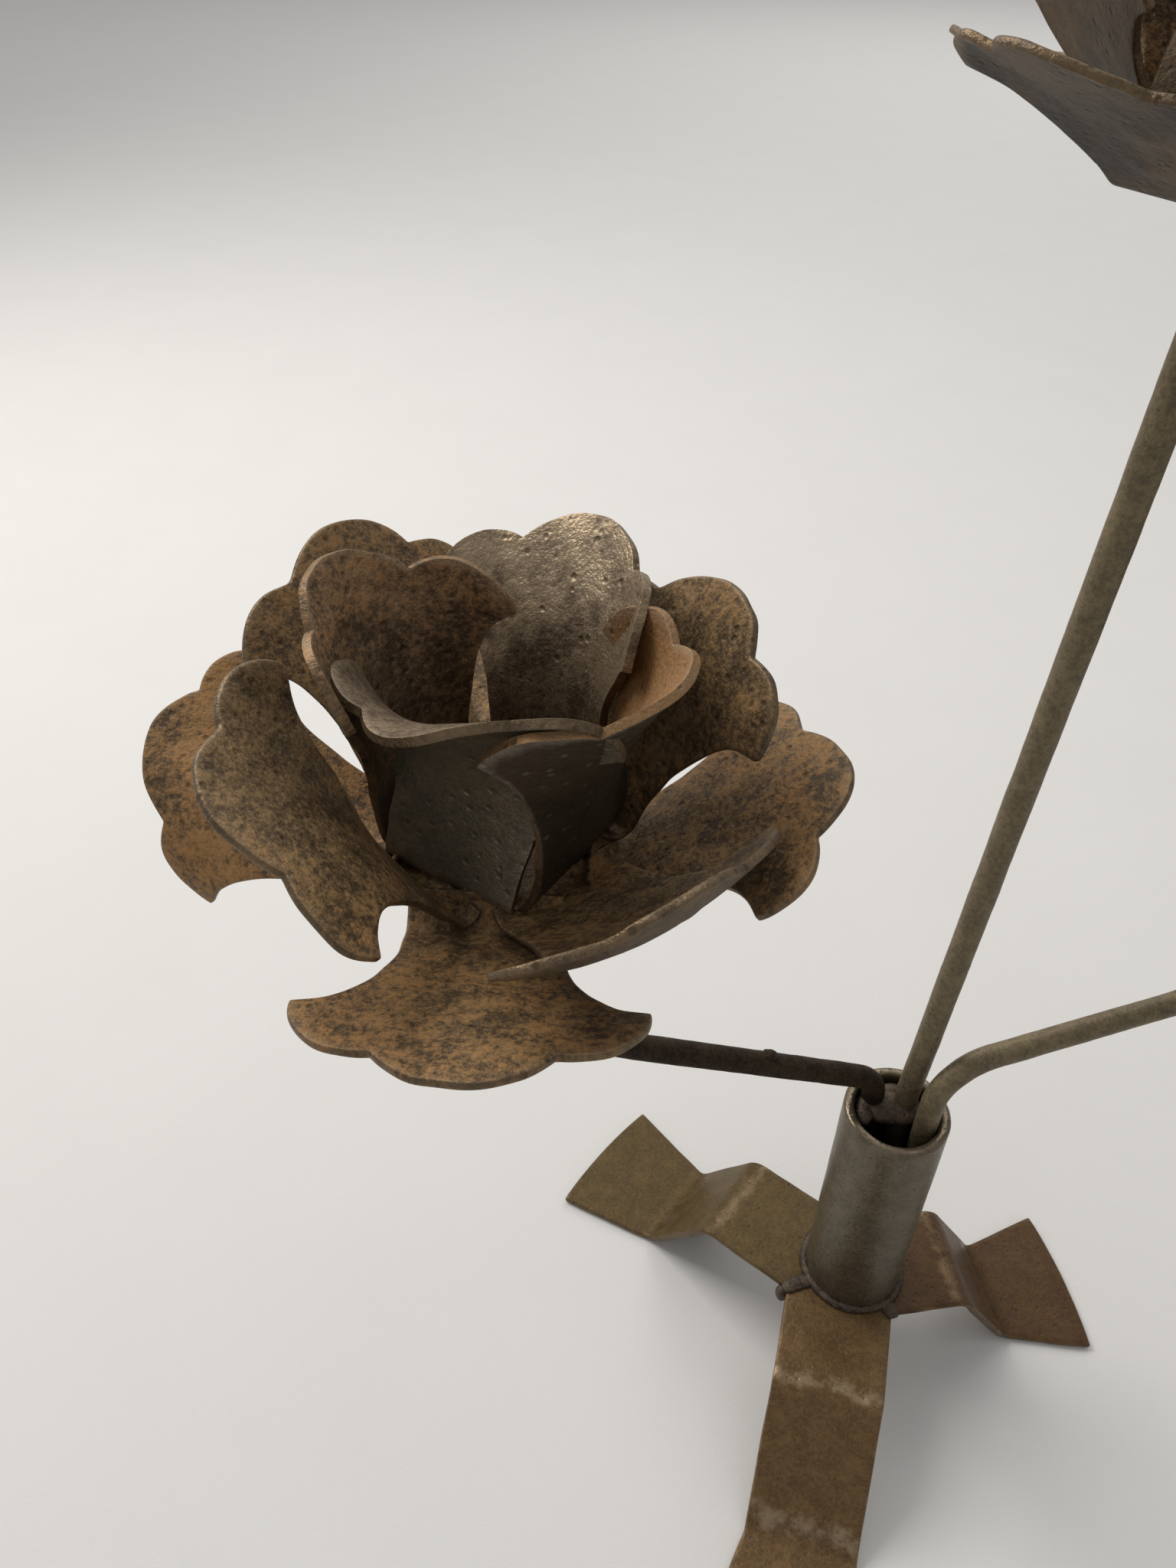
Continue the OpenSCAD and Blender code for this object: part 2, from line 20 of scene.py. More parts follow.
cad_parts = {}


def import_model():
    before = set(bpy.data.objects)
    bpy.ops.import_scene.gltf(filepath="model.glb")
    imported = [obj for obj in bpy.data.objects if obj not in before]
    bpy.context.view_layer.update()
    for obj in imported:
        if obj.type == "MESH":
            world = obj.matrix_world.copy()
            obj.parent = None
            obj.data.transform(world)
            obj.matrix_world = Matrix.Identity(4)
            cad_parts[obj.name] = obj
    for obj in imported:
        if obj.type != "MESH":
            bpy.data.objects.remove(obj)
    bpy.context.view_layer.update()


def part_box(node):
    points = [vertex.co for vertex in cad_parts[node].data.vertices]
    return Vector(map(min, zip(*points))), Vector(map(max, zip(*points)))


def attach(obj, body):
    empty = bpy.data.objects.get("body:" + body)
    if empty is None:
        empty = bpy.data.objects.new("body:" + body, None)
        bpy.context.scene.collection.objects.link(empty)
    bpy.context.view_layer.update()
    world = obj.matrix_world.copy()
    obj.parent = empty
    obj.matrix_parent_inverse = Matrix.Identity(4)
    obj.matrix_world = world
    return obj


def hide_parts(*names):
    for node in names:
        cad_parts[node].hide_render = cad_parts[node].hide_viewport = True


LOG = logging.getLogger("candle_holder")
BODY = "root"
METRES = 0.001
FLAT_CURVE = 1e-5
MERGE_DIST = 1e-4
SHARP_ANGLE = 50
PETAL_COUNT = 4

Socket = bpy.types.NodeSocket
Mesh = bmesh.types.BMesh
Finishes = dict[str, bpy.types.Material]
Colour = tuple[float, float, float]
Triple = tuple[float, float, float]
Span = tuple[float, float]
Row = list[tuple[Vector, float, Triple]]


class Slot(Enum):
    """Material slots that the pieces name."""

    PETAL = "petal_sheet"
    CUP = "cup_sheet"
    BAR = "round_bar"
    FLAT = "flat_bar"
    PIPE = "pipe"
    WELD = "weld"


class Side(Enum):
    """The three bars, each with its rose."""

    LEFT = "left"
    TALL = "tall"
    RIGHT = "right"


class Tier(Enum):
    """The three sheets of a rose, from the bar up."""

    OUTER = "outer"
    MIDDLE = "middle"
    CUP = "cup"


class Layer(Enum):
    """Values that are painted on a mesh's points for its finish to read."""

    EDGE = "edge"
    RUST = "rust"
    WEAR_AND_PAINTED_LIGHT = "wear"
    BLACK = "black"


# Finishes


class Graph:
    """Node tree of one material, with short ways to add what a finish needs."""

    def __init__(self, name: str) -> None:
        """Starts a material.

        Args:
            name: The material's name.
        """
        self.material = bpy.data.materials.new(name)
        self.material.use_nodes = True
        self.tree = self.material.node_tree
        self.shader = self.tree.nodes["Principled BSDF"]
        self.place = self.tree.nodes.new("ShaderNodeTexCoord").outputs["Object"]

    def link(self, source: Socket, target: Socket) -> None:
        """Joins two sockets."""
        self.tree.links.new(source, target)

    def feed(self, target: Socket, value: Socket | float | Colour) -> None:
        """Gives an input a link or a plain value.

        Args:
            target: The input.
            value: A socket, a number or a colour.
        """
        if isinstance(value, bpy.types.NodeSocket):
            self.link(value, target)
        elif isinstance(value, tuple):
            target.default_value = (*value, 1.0)
        else:
            target.default_value = value

    def clouds(self, size: float, detail: float = 4.0, rough: float = 0.6) -> Socket:
        """Soft noise whose blotches are about this many millimetres wide.

        Args:
            size: Width of a blotch, in millimetres.
            detail: How many finer layers it has.
            rough: How much the finer layers count.

        Returns:
            The noise, from 0 to 1.
        """
        node = self.tree.nodes.new("ShaderNodeTexNoise")
        node.inputs["Scale"].default_value = 1.0 / (size * METRES)
        node.inputs["Detail"].default_value = detail
        node.inputs["Roughness"].default_value = rough
        self.link(self.place, node.inputs["Vector"])
        return node.outputs[0]

    def pits(self, size: float) -> Socket:
        """Distance to the nearest of many scattered points.

        Args:
            size: Width between the points, in millimetres.

        Returns:
            The distance, 0 at a point.
        """
        node = self.tree.nodes.new("ShaderNodeTexVoronoi")
        node.inputs["Scale"].default_value = 1.0 / (size * METRES)
        self.link(self.place, node.inputs["Vector"])
        return node.outputs["Distance"]

    def painted(self, layer: Layer) -> Socket:
        """Value painted on the mesh's points.

        Args:
            layer: Which of the painted values.

        Returns:
            The value.
        """
        node = self.tree.nodes.new("ShaderNodeAttribute")
        node.attribute_name = layer.value
        return node.outputs["Fac"]

    def calc(self, kind: str, a: Socket | float, b: Socket | float = 0.0) -> Socket:
        """One sum, product or other calculation.

        Args:
            kind: Name of the calculation.
            a: First value.
            b: Second value.

        Returns:
            The result.
        """
        node = self.tree.nodes.new("ShaderNodeMath")
        node.operation = kind
        self.feed(node.inputs[0], a)
        self.feed(node.inputs[1], b)
        return node.outputs[0]

    def weigh(self, sockets: Sequence[Socket], weights: Sequence[float]) -> Socket:
        """Sum of values, each times its own weight.

        Args:
            sockets: The values.
            weights: As many weights.

        Returns:
            The sum.
        """
        parts = [self.calc("MULTIPLY", socket, weight) for socket, weight in zip(sockets, weights)]
        total = parts[0]
        for part in parts[1:]:
            total = self.calc("ADD", total, part)
        return total

    def step(self, value: Socket, span: Span) -> Socket:
        """Soft step that goes from 0 at the span's start to 1 at its end.

        Args:
            value: Value that is compared with the span.
            span: Start and end.

        Returns:
            Value from 0 to 1.
        """
        node = self.tree.nodes.new("ShaderNodeMapRange")
        node.interpolation_type = "SMOOTHSTEP"
        self.link(value, node.inputs["Value"])
        node.inputs["From Min"].default_value, node.inputs["From Max"].default_value = span
        return node.outputs["Result"]

    def spread(self, value: Socket, span: Span) -> Socket:
        """Brings a value from 0 to 1 to the span.

        Args:
            value: Value from 0 to 1.
            span: What 0 and 1 become.

        Returns:
            The value between the span's ends.
        """
        node = self.tree.nodes.new("ShaderNodeMapRange")
        self.link(value, node.inputs["Value"])
        node.inputs["To Min"].default_value, node.inputs["To Max"].default_value = span
        return node.outputs["Result"]

    def mix(self, share: Socket, a: Socket | Colour, b: Socket | Colour) -> Socket:
        """Blend from colour a to colour b.

        Args:
            share: How much of colour b there is.
            a: First colour.
            b: Second colour.

        Returns:
            The blend.
        """
        node = self.tree.nodes.new("ShaderNodeMix")
        node.data_type = "RGBA"
        self.link(share, node.inputs[0])
        self.feed(node.inputs[6], a)
        self.feed(node.inputs[7], b)
        return node.outputs[2]

    def relief(self, height: Socket, depth: float, strength: float) -> None:
        """Bump on the shader's normal, its depth in millimetres.

        Args:
            height: Height from 0 to 1.
            depth: Depth in millimetres.
            strength: How strongly it shows.
        """
        node = self.tree.nodes.new("ShaderNodeBump")
        node.inputs["Strength"].default_value = strength
        node.inputs["Distance"].default_value = depth * METRES
        self.link(height, node.inputs["Height"])
        self.link(node.outputs[0], self.shader.inputs["Normal"])


@dataclass(frozen=True)
class Grounds:
    """Patterns that the layers of one iron finish share, from the widest to the finest."""

    broad: Socket
    middle: Socket
    fine: Socket
    grit: Socket
    pit: Socket

    @classmethod
    def on(cls, g: Graph) -> Grounds:
        """Adds the patterns to a material, each with its width in millimetres.

        Args:
            g: The material's graph.

        Returns:
            The patterns.
        """
        return cls(
            broad=g.clouds(22.0, 3.0),
            middle=g.clouds(5.0, 5.0, 0.65),
            fine=g.clouds(1.1, 3.0, 0.7),
            grit=g.clouds(0.45, 2.0, 0.6),
            pit=g.step(g.pits(2.6), (0.26, 0.08)),
        )


# Base tone of iron: how much the middle, fine and grit patterns count, and the span that is kept
TONE_WEIGHTS = (0.36, 0.39, 0.25)
TONE_SPAN = (0.39, 0.61)
# Black scale, which on some cup petals is painted shade: weights, where it starts for a share of 0 and of
# 1, and how it is broken up
SCALE_WEIGHTS = (0.6, 0.4, 0.26)
SCALE_STARTS = (0.66, 0.36)
SCALE_BREAKS = (0.55, 1.05)
# Orange rust: the same, and how softly both layers begin
RUST_WEIGHTS = (0.25, 0.4, 0.35, 0.22)
RUST_STARTS = (0.70, 0.42)
RUST_BREAKS = (0.2, 1.0)
LAYER_FADE = 0.2
# Scuffed rims and faces, which on the legs' bends and some cup petals are also painted light
RIM_WEIGHTS = (1.0, 0.5)
RIM_SPAN = (1.0, 1.42)
RIM_SHARE = 0.8
RUB_AND_LIGHT_WEIGHTS = (1.0, 0.42)
RUB_AND_LIGHT_STARTS = (0.86, 0.46)
RUB_AND_LIGHT_END = 1.1
RUB_AND_LIGHT_BREAKS = (0.5, 1.0)
# Pits and relief
PIT_SHADE = 0.5
HEIGHT_WEIGHTS = (0.9, 0.5, 0.28, -0.5)
RELIEF = 0.8
# Metal and roughness, and what rust and wear add to them
METAL_SPREAD = (-0.15, 0.1)
ROUGH_SPREAD = (-0.1, 0.16)
WEAR_METAL = 0.35
RUST_METAL = -0.7
RUST_ROUGH = 0.2
WEAR_ROUGH = -0.14


def part_way(ends: Span, share: float) -> float:
    """Value at a share of the way from one end to the other."""
    return ends[0] + (ends[1] - ends[0]) * share


@dataclass(frozen=True)
class AgedIron:
    """Rusted, handled iron: mill scale, brown oxide, orange rust and scuffed edges, with painted light and
    painted shade where a mesh's painted values ask for them.
    """

    name: str
    dark: Colour
    brown: Colour
    rust: Colour
    scale: Colour
    worn_and_painted_light: Colour
    rust_share: float = 0.5
    scale_share: float = 0.3
    wear_share: float = 0.2
    gloss: float = 0.5
    metal: float = 0.5
    depth: float = 0.5
    shine: float = 0.5

    def scale_and_painted_shade(self, g: Graph, on: Grounds) -> Socket:
        """Where dark mill scale is left, and where some cup petals get painted shade, from 0 to 1.

        Args:
            g: The material's graph.
            on: Its shared patterns.

        Returns:
            Value from 0 to 1.
        """
        low = part_way(SCALE_STARTS, self.scale_share)
        patch = g.weigh((on.broad, on.middle, g.painted(Layer.BLACK)), SCALE_WEIGHTS)
        return g.calc("MULTIPLY", g.step(patch, (low, low + LAYER_FADE)), g.spread(on.fine, SCALE_BREAKS))

    def rusted(self, g: Graph, on: Grounds) -> Socket:
        """Where orange rust lies, from 0 to 1.

        Args:
            g: The material's graph.
            on: Its shared patterns.

        Returns:
            Value from 0 to 1.
        """
        low = part_way(RUST_STARTS, self.rust_share)
        away = g.calc("SUBTRACT", 1.0, on.broad)
        patch = g.weigh((on.middle, on.fine, away, g.painted(Layer.RUST)), RUST_WEIGHTS)
        return g.calc("MULTIPLY", g.step(patch, (low, low + LAYER_FADE)), g.spread(on.grit, RUST_BREAKS))

    def rubbing_and_painted_light(self, g: Graph, on: Grounds) -> Socket:
        """Where edges and faces are scuffed bare, and where the legs' bends and some cup petals get painted
        light, from 0 to 1.

        Args:
            g: The material's graph.
            on: Its shared patterns.

        Returns:
            Value from 0 to 1.
        """
        rim = g.step(g.weigh((g.painted(Layer.EDGE), on.middle), RIM_WEIGHTS), RIM_SPAN)
        low = part_way(RUB_AND_LIGHT_STARTS, self.wear_share)
        face = g.step(g.weigh((on.middle, g.painted(Layer.WEAR_AND_PAINTED_LIGHT)), RUB_AND_LIGHT_WEIGHTS), (low, RUB_AND_LIGHT_END))
        return g.calc("MAXIMUM", g.calc("MULTIPLY", rim, RIM_SHARE), face)

    def polish(self, g: Graph, on: Grounds, tone: Socket, rusty: Socket, worn_and_painted_light: Socket) -> None:
        """Sets how metallic and how rough the iron is: rust dulls it and wear brightens it.

        Args:
            g: The material's graph.
            on: Its shared patterns.
            tone: Base tone.
            rusty: Where rust lies.
            worn_and_painted_light: Where the iron is scuffed, and where it gets painted light.
        """
        metal = g.spread(tone, tuple(self.metal + more for more in METAL_SPREAD))
        rough = g.spread(on.fine, tuple(1.0 - self.gloss + more for more in ROUGH_SPREAD))
        metal = g.weigh((metal, worn_and_painted_light, rusty), (1.0, WEAR_METAL, RUST_METAL * self.metal))
        rough = g.weigh((rough, rusty, worn_and_painted_light), (1.0, RUST_ROUGH, WEAR_ROUGH))
        g.link(metal, g.shader.inputs["Metallic"])
        g.link(rough, g.shader.inputs["Roughness"])
        g.shader.inputs["Specular IOR Level"].default_value = self.shine

    def make(self) -> bpy.types.Material:
        """Builds the material, one layer over the other.

        Returns:
            The finished material.
        """
        g = Graph(self.name)
        on = Grounds.on(g)
        tone = g.weigh((on.middle, on.fine, on.grit), TONE_WEIGHTS)
        rusty, worn_and_painted_light = self.rusted(g, on), self.rubbing_and_painted_light(g, on)
        colour = g.mix(g.step(tone, TONE_SPAN), self.dark, self.brown)
        # Mill scale, and on some cup petals painted shade, in the scale colour
        colour = g.mix(self.scale_and_painted_shade(g, on), colour, self.scale)
        colour = g.mix(rusty, colour, self.rust)
        # Scuffs in the rubbing colour, and painted highlights on the legs' bends and some cup petals
        colour = g.mix(g.calc("MULTIPLY", worn_and_painted_light, g.spread(on.grit, RUB_AND_LIGHT_BREAKS)), colour, self.worn_and_painted_light)
        colour = g.mix(g.calc("MULTIPLY", on.pit, PIT_SHADE), colour, self.dark)
        g.link(colour, g.shader.inputs["Base Color"])
        self.polish(g, on, tone, rusty, worn_and_painted_light)
        g.relief(g.weigh((on.middle, on.fine, on.grit, on.pit), HEIGHT_WEIGHTS), self.depth, RELIEF)
        return g.material


@dataclass(frozen=True)
class Cloth:
    """Plain pale floor, with the faintest mottling."""

    name: str
    colour: Colour
    shade: float = 0.95
    patch: float = 60.0
    grain: float = 1.2
    depth: float = 0.3
    bump: float = 0.25
    rough: float = 0.95
    shine: float = 0.1

    def make(self) -> bpy.types.Material:
        """Builds the material.

        Returns:
            The finished material.
        """
        g = Graph(self.name)
        darker = tuple(self.shade * c for c in self.colour)
        g.link(g.mix(g.clouds(self.patch, 5.0), self.colour, darker), g.shader.inputs["Base Color"])
        g.shader.inputs["Roughness"].default_value = self.rough
        g.shader.inputs["Specular IOR Level"].default_value = self.shine
        g.relief(g.clouds(self.grain, 2.0), self.depth, self.bump)
        return g.material


DARK = (0.072, 0.045, 0.023)
BROWN = (0.287, 0.182, 0.084)
RUST = (0.425, 0.208, 0.068)
SCALE = (0.022, 0.020, 0.017)
WORN = (0.265, 0.186, 0.108)

PETAL_UPPER = AgedIron(
    "petal_upper_face", DARK, BROWN, RUST, SCALE, WORN,
    rust_share=0.5, scale_share=0.12, wear_share=0.2, gloss=0.42, metal=0.3, shine=0.3,
)
PETAL_UNDER = AgedIron(
    "petal_under_face", DARK, (0.140, 0.096, 0.052), RUST, SCALE, WORN,
    rust_share=0.3, scale_share=0.3, wear_share=0.15, gloss=0.4, metal=0.3, shine=0.3,
)
PETAL_RIM = AgedIron(
    "petal_rim", (0.036, 0.025, 0.016), (0.128, 0.084, 0.046), RUST, SCALE, WORN,
    rust_share=0.35, scale_share=0.0, wear_share=0.22, gloss=0.5, metal=0.5, shine=0.3,
)
# The pale rubbing colour is partly painted light: on one cup petal of the left rose it brightens the upper
# inner face where light falls into the cup.
CUP_UPPER = AgedIron(
    "cup_inner_face", DARK, (0.200, 0.142, 0.084), RUST, SCALE, (0.42, 0.32, 0.21),
    rust_share=0.35, scale_share=0.15, wear_share=0.35, gloss=0.5, metal=0.45,
)
# Outer face of the left cup only. Its pale grey tones and pale scuffs are painted light, a lit and glossy
# look brighter than the iron's own dark tone, and its nearly black scale colour is painted shade on the
# cup's front-right petal.
CUP_UNDER_PAINTED_LIGHT_AND_SHADE = AgedIron(
    "cup_outer_face_painted_light_and_shade", (0.198, 0.188, 0.146), (0.300, 0.270, 0.200), (0.09, 0.06, 0.035),
    (0.010, 0.010, 0.009), (0.58, 0.53, 0.43),
    rust_share=0.1, scale_share=0.3, wear_share=0.4, gloss=0.58, metal=0.6,
)
BAR_IRON = AgedIron(
    "bar_iron", (0.105, 0.081, 0.047), (0.205, 0.157, 0.088), (0.24, 0.13, 0.055), SCALE,
    (0.30, 0.24, 0.15),
    rust_share=0.25, scale_share=0.15, wear_share=0.2, gloss=0.5, metal=0.4, depth=0.25, shine=0.35,
)
# Darker copy of bar_iron for the left bar: partly the bar's own dark brown, partly painted shade of the
# rose above it.
SHADED_DARK_BAR = AgedIron(
    "dark_bar_iron_painted_shade", (0.015, 0.010, 0.006), (0.046, 0.031, 0.018), (0.13, 0.06, 0.02), SCALE,
    (0.09, 0.062, 0.036),
    rust_share=0.35, scale_share=0.2, wear_share=0.2, gloss=0.36, metal=0.08, depth=0.3, shine=0.1,
)
PIPE_STEEL = AgedIron(
    "pipe_steel", (0.090, 0.074, 0.048), (0.160, 0.132, 0.086), (0.20, 0.10, 0.045), (0.05, 0.04, 0.03),
    (0.26, 0.20, 0.14),
    rust_share=0.12, scale_share=0.1, wear_share=0.22, gloss=0.64, metal=0.68, depth=0.2, shine=0.3,
)
LEG_IRON = AgedIron(
    "leg_iron", (0.095, 0.054, 0.023), (0.165, 0.098, 0.040), (0.23, 0.105, 0.036), (0.050, 0.034, 0.020),
    (0.34, 0.25, 0.16),
    rust_share=0.3, scale_share=0.12, wear_share=0.2, gloss=0.6, metal=0.35, depth=0.22, shine=0.25,
)
# Copy of leg_iron for the right leg, about 0.6 times as bright and a little redder. The darkening is
# painted shade: it offsets the window lamp, which lights the right toe more than the front leg.
RED_LEG_PAINTED_SHADE = AgedIron(
    "red_leg_iron_painted_shade", (0.055, 0.027, 0.010), (0.092, 0.048, 0.016), (0.14, 0.056, 0.018),
    (0.030, 0.020, 0.012), (0.20, 0.13, 0.07),
    rust_share=0.35, scale_share=0.12, wear_share=0.2, gloss=0.6, metal=0.3, depth=0.22, shine=0.25,
)
OLIVE_LEG = AgedIron(
    "olive_leg_iron", (0.066, 0.040, 0.013), (0.113, 0.073, 0.024), (0.13, 0.068, 0.020),
    (0.035, 0.025, 0.014), (0.20, 0.14, 0.08),
    rust_share=0.2, scale_share=0.12, wear_share=0.2, gloss=0.58, metal=0.3, depth=0.22, shine=0.25,
)
WELD_BEAD = AgedIron(
    "weld_bead", (0.030, 0.022, 0.016), (0.105, 0.070, 0.042), (0.20, 0.095, 0.035), SCALE,
    (0.22, 0.17, 0.11),
    rust_share=0.3, scale_share=0.25, wear_share=0.2, gloss=0.45, metal=0.45,
)
IRONS = (
    PETAL_UPPER, PETAL_UNDER, PETAL_RIM, CUP_UPPER, CUP_UNDER_PAINTED_LIGHT_AND_SHADE, BAR_IRON,
    SHADED_DARK_BAR, PIPE_STEEL, LEG_IRON, RED_LEG_PAINTED_SHADE, OLIVE_LEG, WELD_BEAD,
)
FLOOR_CLOTH = Cloth("pale_cloth", (0.71, 0.69, 0.66))


# Shared shapes


def arc_run(slope: float, curve: float, length: float) -> tuple[float, float]:
    """Way along and up of an arc.

    Args:
        slope: Slope at its start, in radians.
        curve: Turn per millimetre, in radians.
        length: Length of the arc.

    Returns:
        The way along and the way up.
    """
    if abs(curve) < FLAT_CURVE:
        return length * math.cos(slope), length * math.sin(slope)
    end = slope + curve * length
    return (math.sin(end) - math.sin(slope)) / curve, (math.cos(slope) - math.cos(end)) / curve


def smooth(x: float) -> float:
    """Soft step from 0 to 1."""
    w = min(1.0, max(0.0, x))
    return w * w * (3.0 - 2.0 * w)


def bulge(p: Vector, q: Vector, rise: float, share: float) -> Vector:
    """Point of an arc that bulges to the left of the way from p to q.

    Args:
        p: Start.
        q: End.
        rise: Height of the arc over its chord.
        share: Place on the arc, from 0 at p to 1 at q.

    Returns:
        The point.
    """
    way = q - p
    chord = way.length
    radius = (chord * chord / 4 + rise * rise) / (2 * rise)
    left = Vector((-way.y, way.x)) / chord
    centre = (p + q) / 2 + left * (rise - radius)
    half = math.asin(min(1.0, chord / 2 / radius))
    angle = math.atan2(left.y, left.x) + half * (1 - 2 * share)
    return centre + radius * Vector((math.cos(angle), math.sin(angle)))


@dataclass(frozen=True)
class Wave:
    """Soft unevenness: its height, the width of its waves and what it adds to a seed."""

    height: float
    width: float
    shift: float = 0.0

    def at(self, point: Vector, seed: float) -> float:
        """Value at a point, from minus its height to its height."""
        away = Vector((7.31, 3.17, 5.93)) * (seed + self.shift)
        return self.height * noise.noise(point / self.width + away)


def uneven(point: Vector, seed: float, waves: Sequence[Wave]) -> float:
    """Sum of some waves at a point."""
    return sum(wave.at(point, seed) for wave in waves)


@dataclass(frozen=True)
class Hammering:
    """Unevenness of hammered sheet: long waves, a fine grain and round dents."""

    waves: Sequence[Wave] = (Wave(0.42, 13.0), Wave(0.07, 2.2, 4.0))
    dents: Wave = Wave(1.0, 5.0, 2.0)
    dent_depth: float = 0.55
    untouched: float = 0.28

    def at(self, point: Vector, seed: float) -> float:
        """Height of the sheet over its smooth form at a point."""
        dent = min(0.0, self.dents.at(point, seed) + self.untouched)
        return uneven(point, seed, self.waves) + self.dent_depth * dent


def merged(bm: Mesh) -> None:
    """Merges double points and turns all faces outwards."""
    bmesh.ops.remove_doubles(bm, verts=bm.verts, dist=MERGE_DIST)
    bmesh.ops.recalc_face_normals(bm, faces=bm.faces)


LUMP_WAVES = (Wave(0.22, 0.9), Wave(0.1, 0.35, 1.0))


def add_lump(bm: Mesh, frame: Matrix, size: Sequence[float], seed: float, detail: int = 3) -> None:
    """Adds a closed, slightly uneven lump.

    Args:
        bm: Mesh that gets the lump.
        frame: Place and turn of the lump.
        size: Half sizes along the frame's axes.
        seed: Seed of its unevenness.
        detail: Subdivisions of the ball that it starts from.
    """
    made = bmesh.ops.create_icosphere(bm, subdivisions=detail, radius=1.0)
    for vert in made["verts"]:
        swell = 1.0 + uneven(vert.co, seed, LUMP_WAVES)
        vert.co = frame @ Vector([s * c * swell for s, c in zip(size, vert.co)])


@dataclass
class Piece:
    """One finished piece that stands for a node of the frame."""

    name: str
    node: str
    slot: Slot
    finishes: Sequence[AgedIron]

    def finish(self, bm: Mesh, materials: Finishes) -> bpy.types.Object:
        """Turns a mesh in millimetres into the piece and rides it on the frame.

        Args:
            bm: The mesh, which is freed.
            materials: Finished materials by name.

        Returns:
            The piece's object.
        """
        bmesh.ops.scale(bm, vec=Vector((METRES,) * 3), verts=bm.verts)
        mesh = bpy.data.meshes.new(self.name)
        bm.to_mesh(mesh)
        bm.free()
        mesh.shade_smooth()
        piece = bpy.data.objects.new(self.name, mesh)
        bpy.context.scene.collection.objects.link(piece)
        for finish in self.finishes:
            mesh.materials.append(materials[finish.name])
        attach(piece, BODY)
        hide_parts(self.node)
        LOG.info("%s stands for %s, %d points", self.name, self.node, len(mesh.vertices))
        return piece


def round_off(piece: bpy.types.Object, width: float, segments: int) -> None:
    """Rounds a piece's sharp edges.

    Args:
        piece: The piece.
        width: Width of the rounding, in millimetres.
        segments: Facets of the rounding.
    """
    edges = piece.modifiers.new("rounded_edges", "BEVEL")
    edges.width = width * METRES
    edges.segments = segments
    edges.limit_method = "ANGLE"
    edges.angle_limit = math.radians(SHARP_ANGLE)


def smooth_over(piece: bpy.types.Object) -> None:
    """Smooths a whole piece once."""
    skin = piece.modifiers.new("smooth_skin", "SUBSURF")
    skin.levels = skin.render_levels = 1


def thicken(piece: bpy.types.Object, thickness: float, clamp: float = 0.6) -> None:
    """Gives a sheet its thickness, half to each side.

    A piece with three finishes gets one on its upper face, one on its underside and one on its rim.

    Args:
        piece: The piece, a single surface.
        thickness: Thickness in millimetres.
        clamp: Most that a narrow face may be thickened, as a share of its width.
    """
    wall = piece.modifiers.new("sheet", "SOLIDIFY")
    wall.thickness = thickness * METRES
    wall.offset = 0.0
    wall.use_even_offset = True
    wall.thickness_clamp = clamp
    if len(piece.data.materials) > 1:
        wall.material_offset = 1
        wall.material_offset_rim = 2


# Roses


@dataclass(frozen=True)
class Patina:
    """How rusty, how scuffed and how dark with scale a petal is at its root and at its rim; on some cup
    petals the scuffing paints light and the scale paints shade.
    """

    rust: Span = (0.3, 0.4)
    wear: Span = (0.1, 0.2)
    black: Span = (0.4, 0.2)


@dataclass(frozen=True)
class Petal:
    """Bend of one petal in degrees, with its patina."""

    lift: float
    sweep: float
    tip: float
    left: float
    right: float
    twist: float
    lean: float
    patina: Patina = Patina()


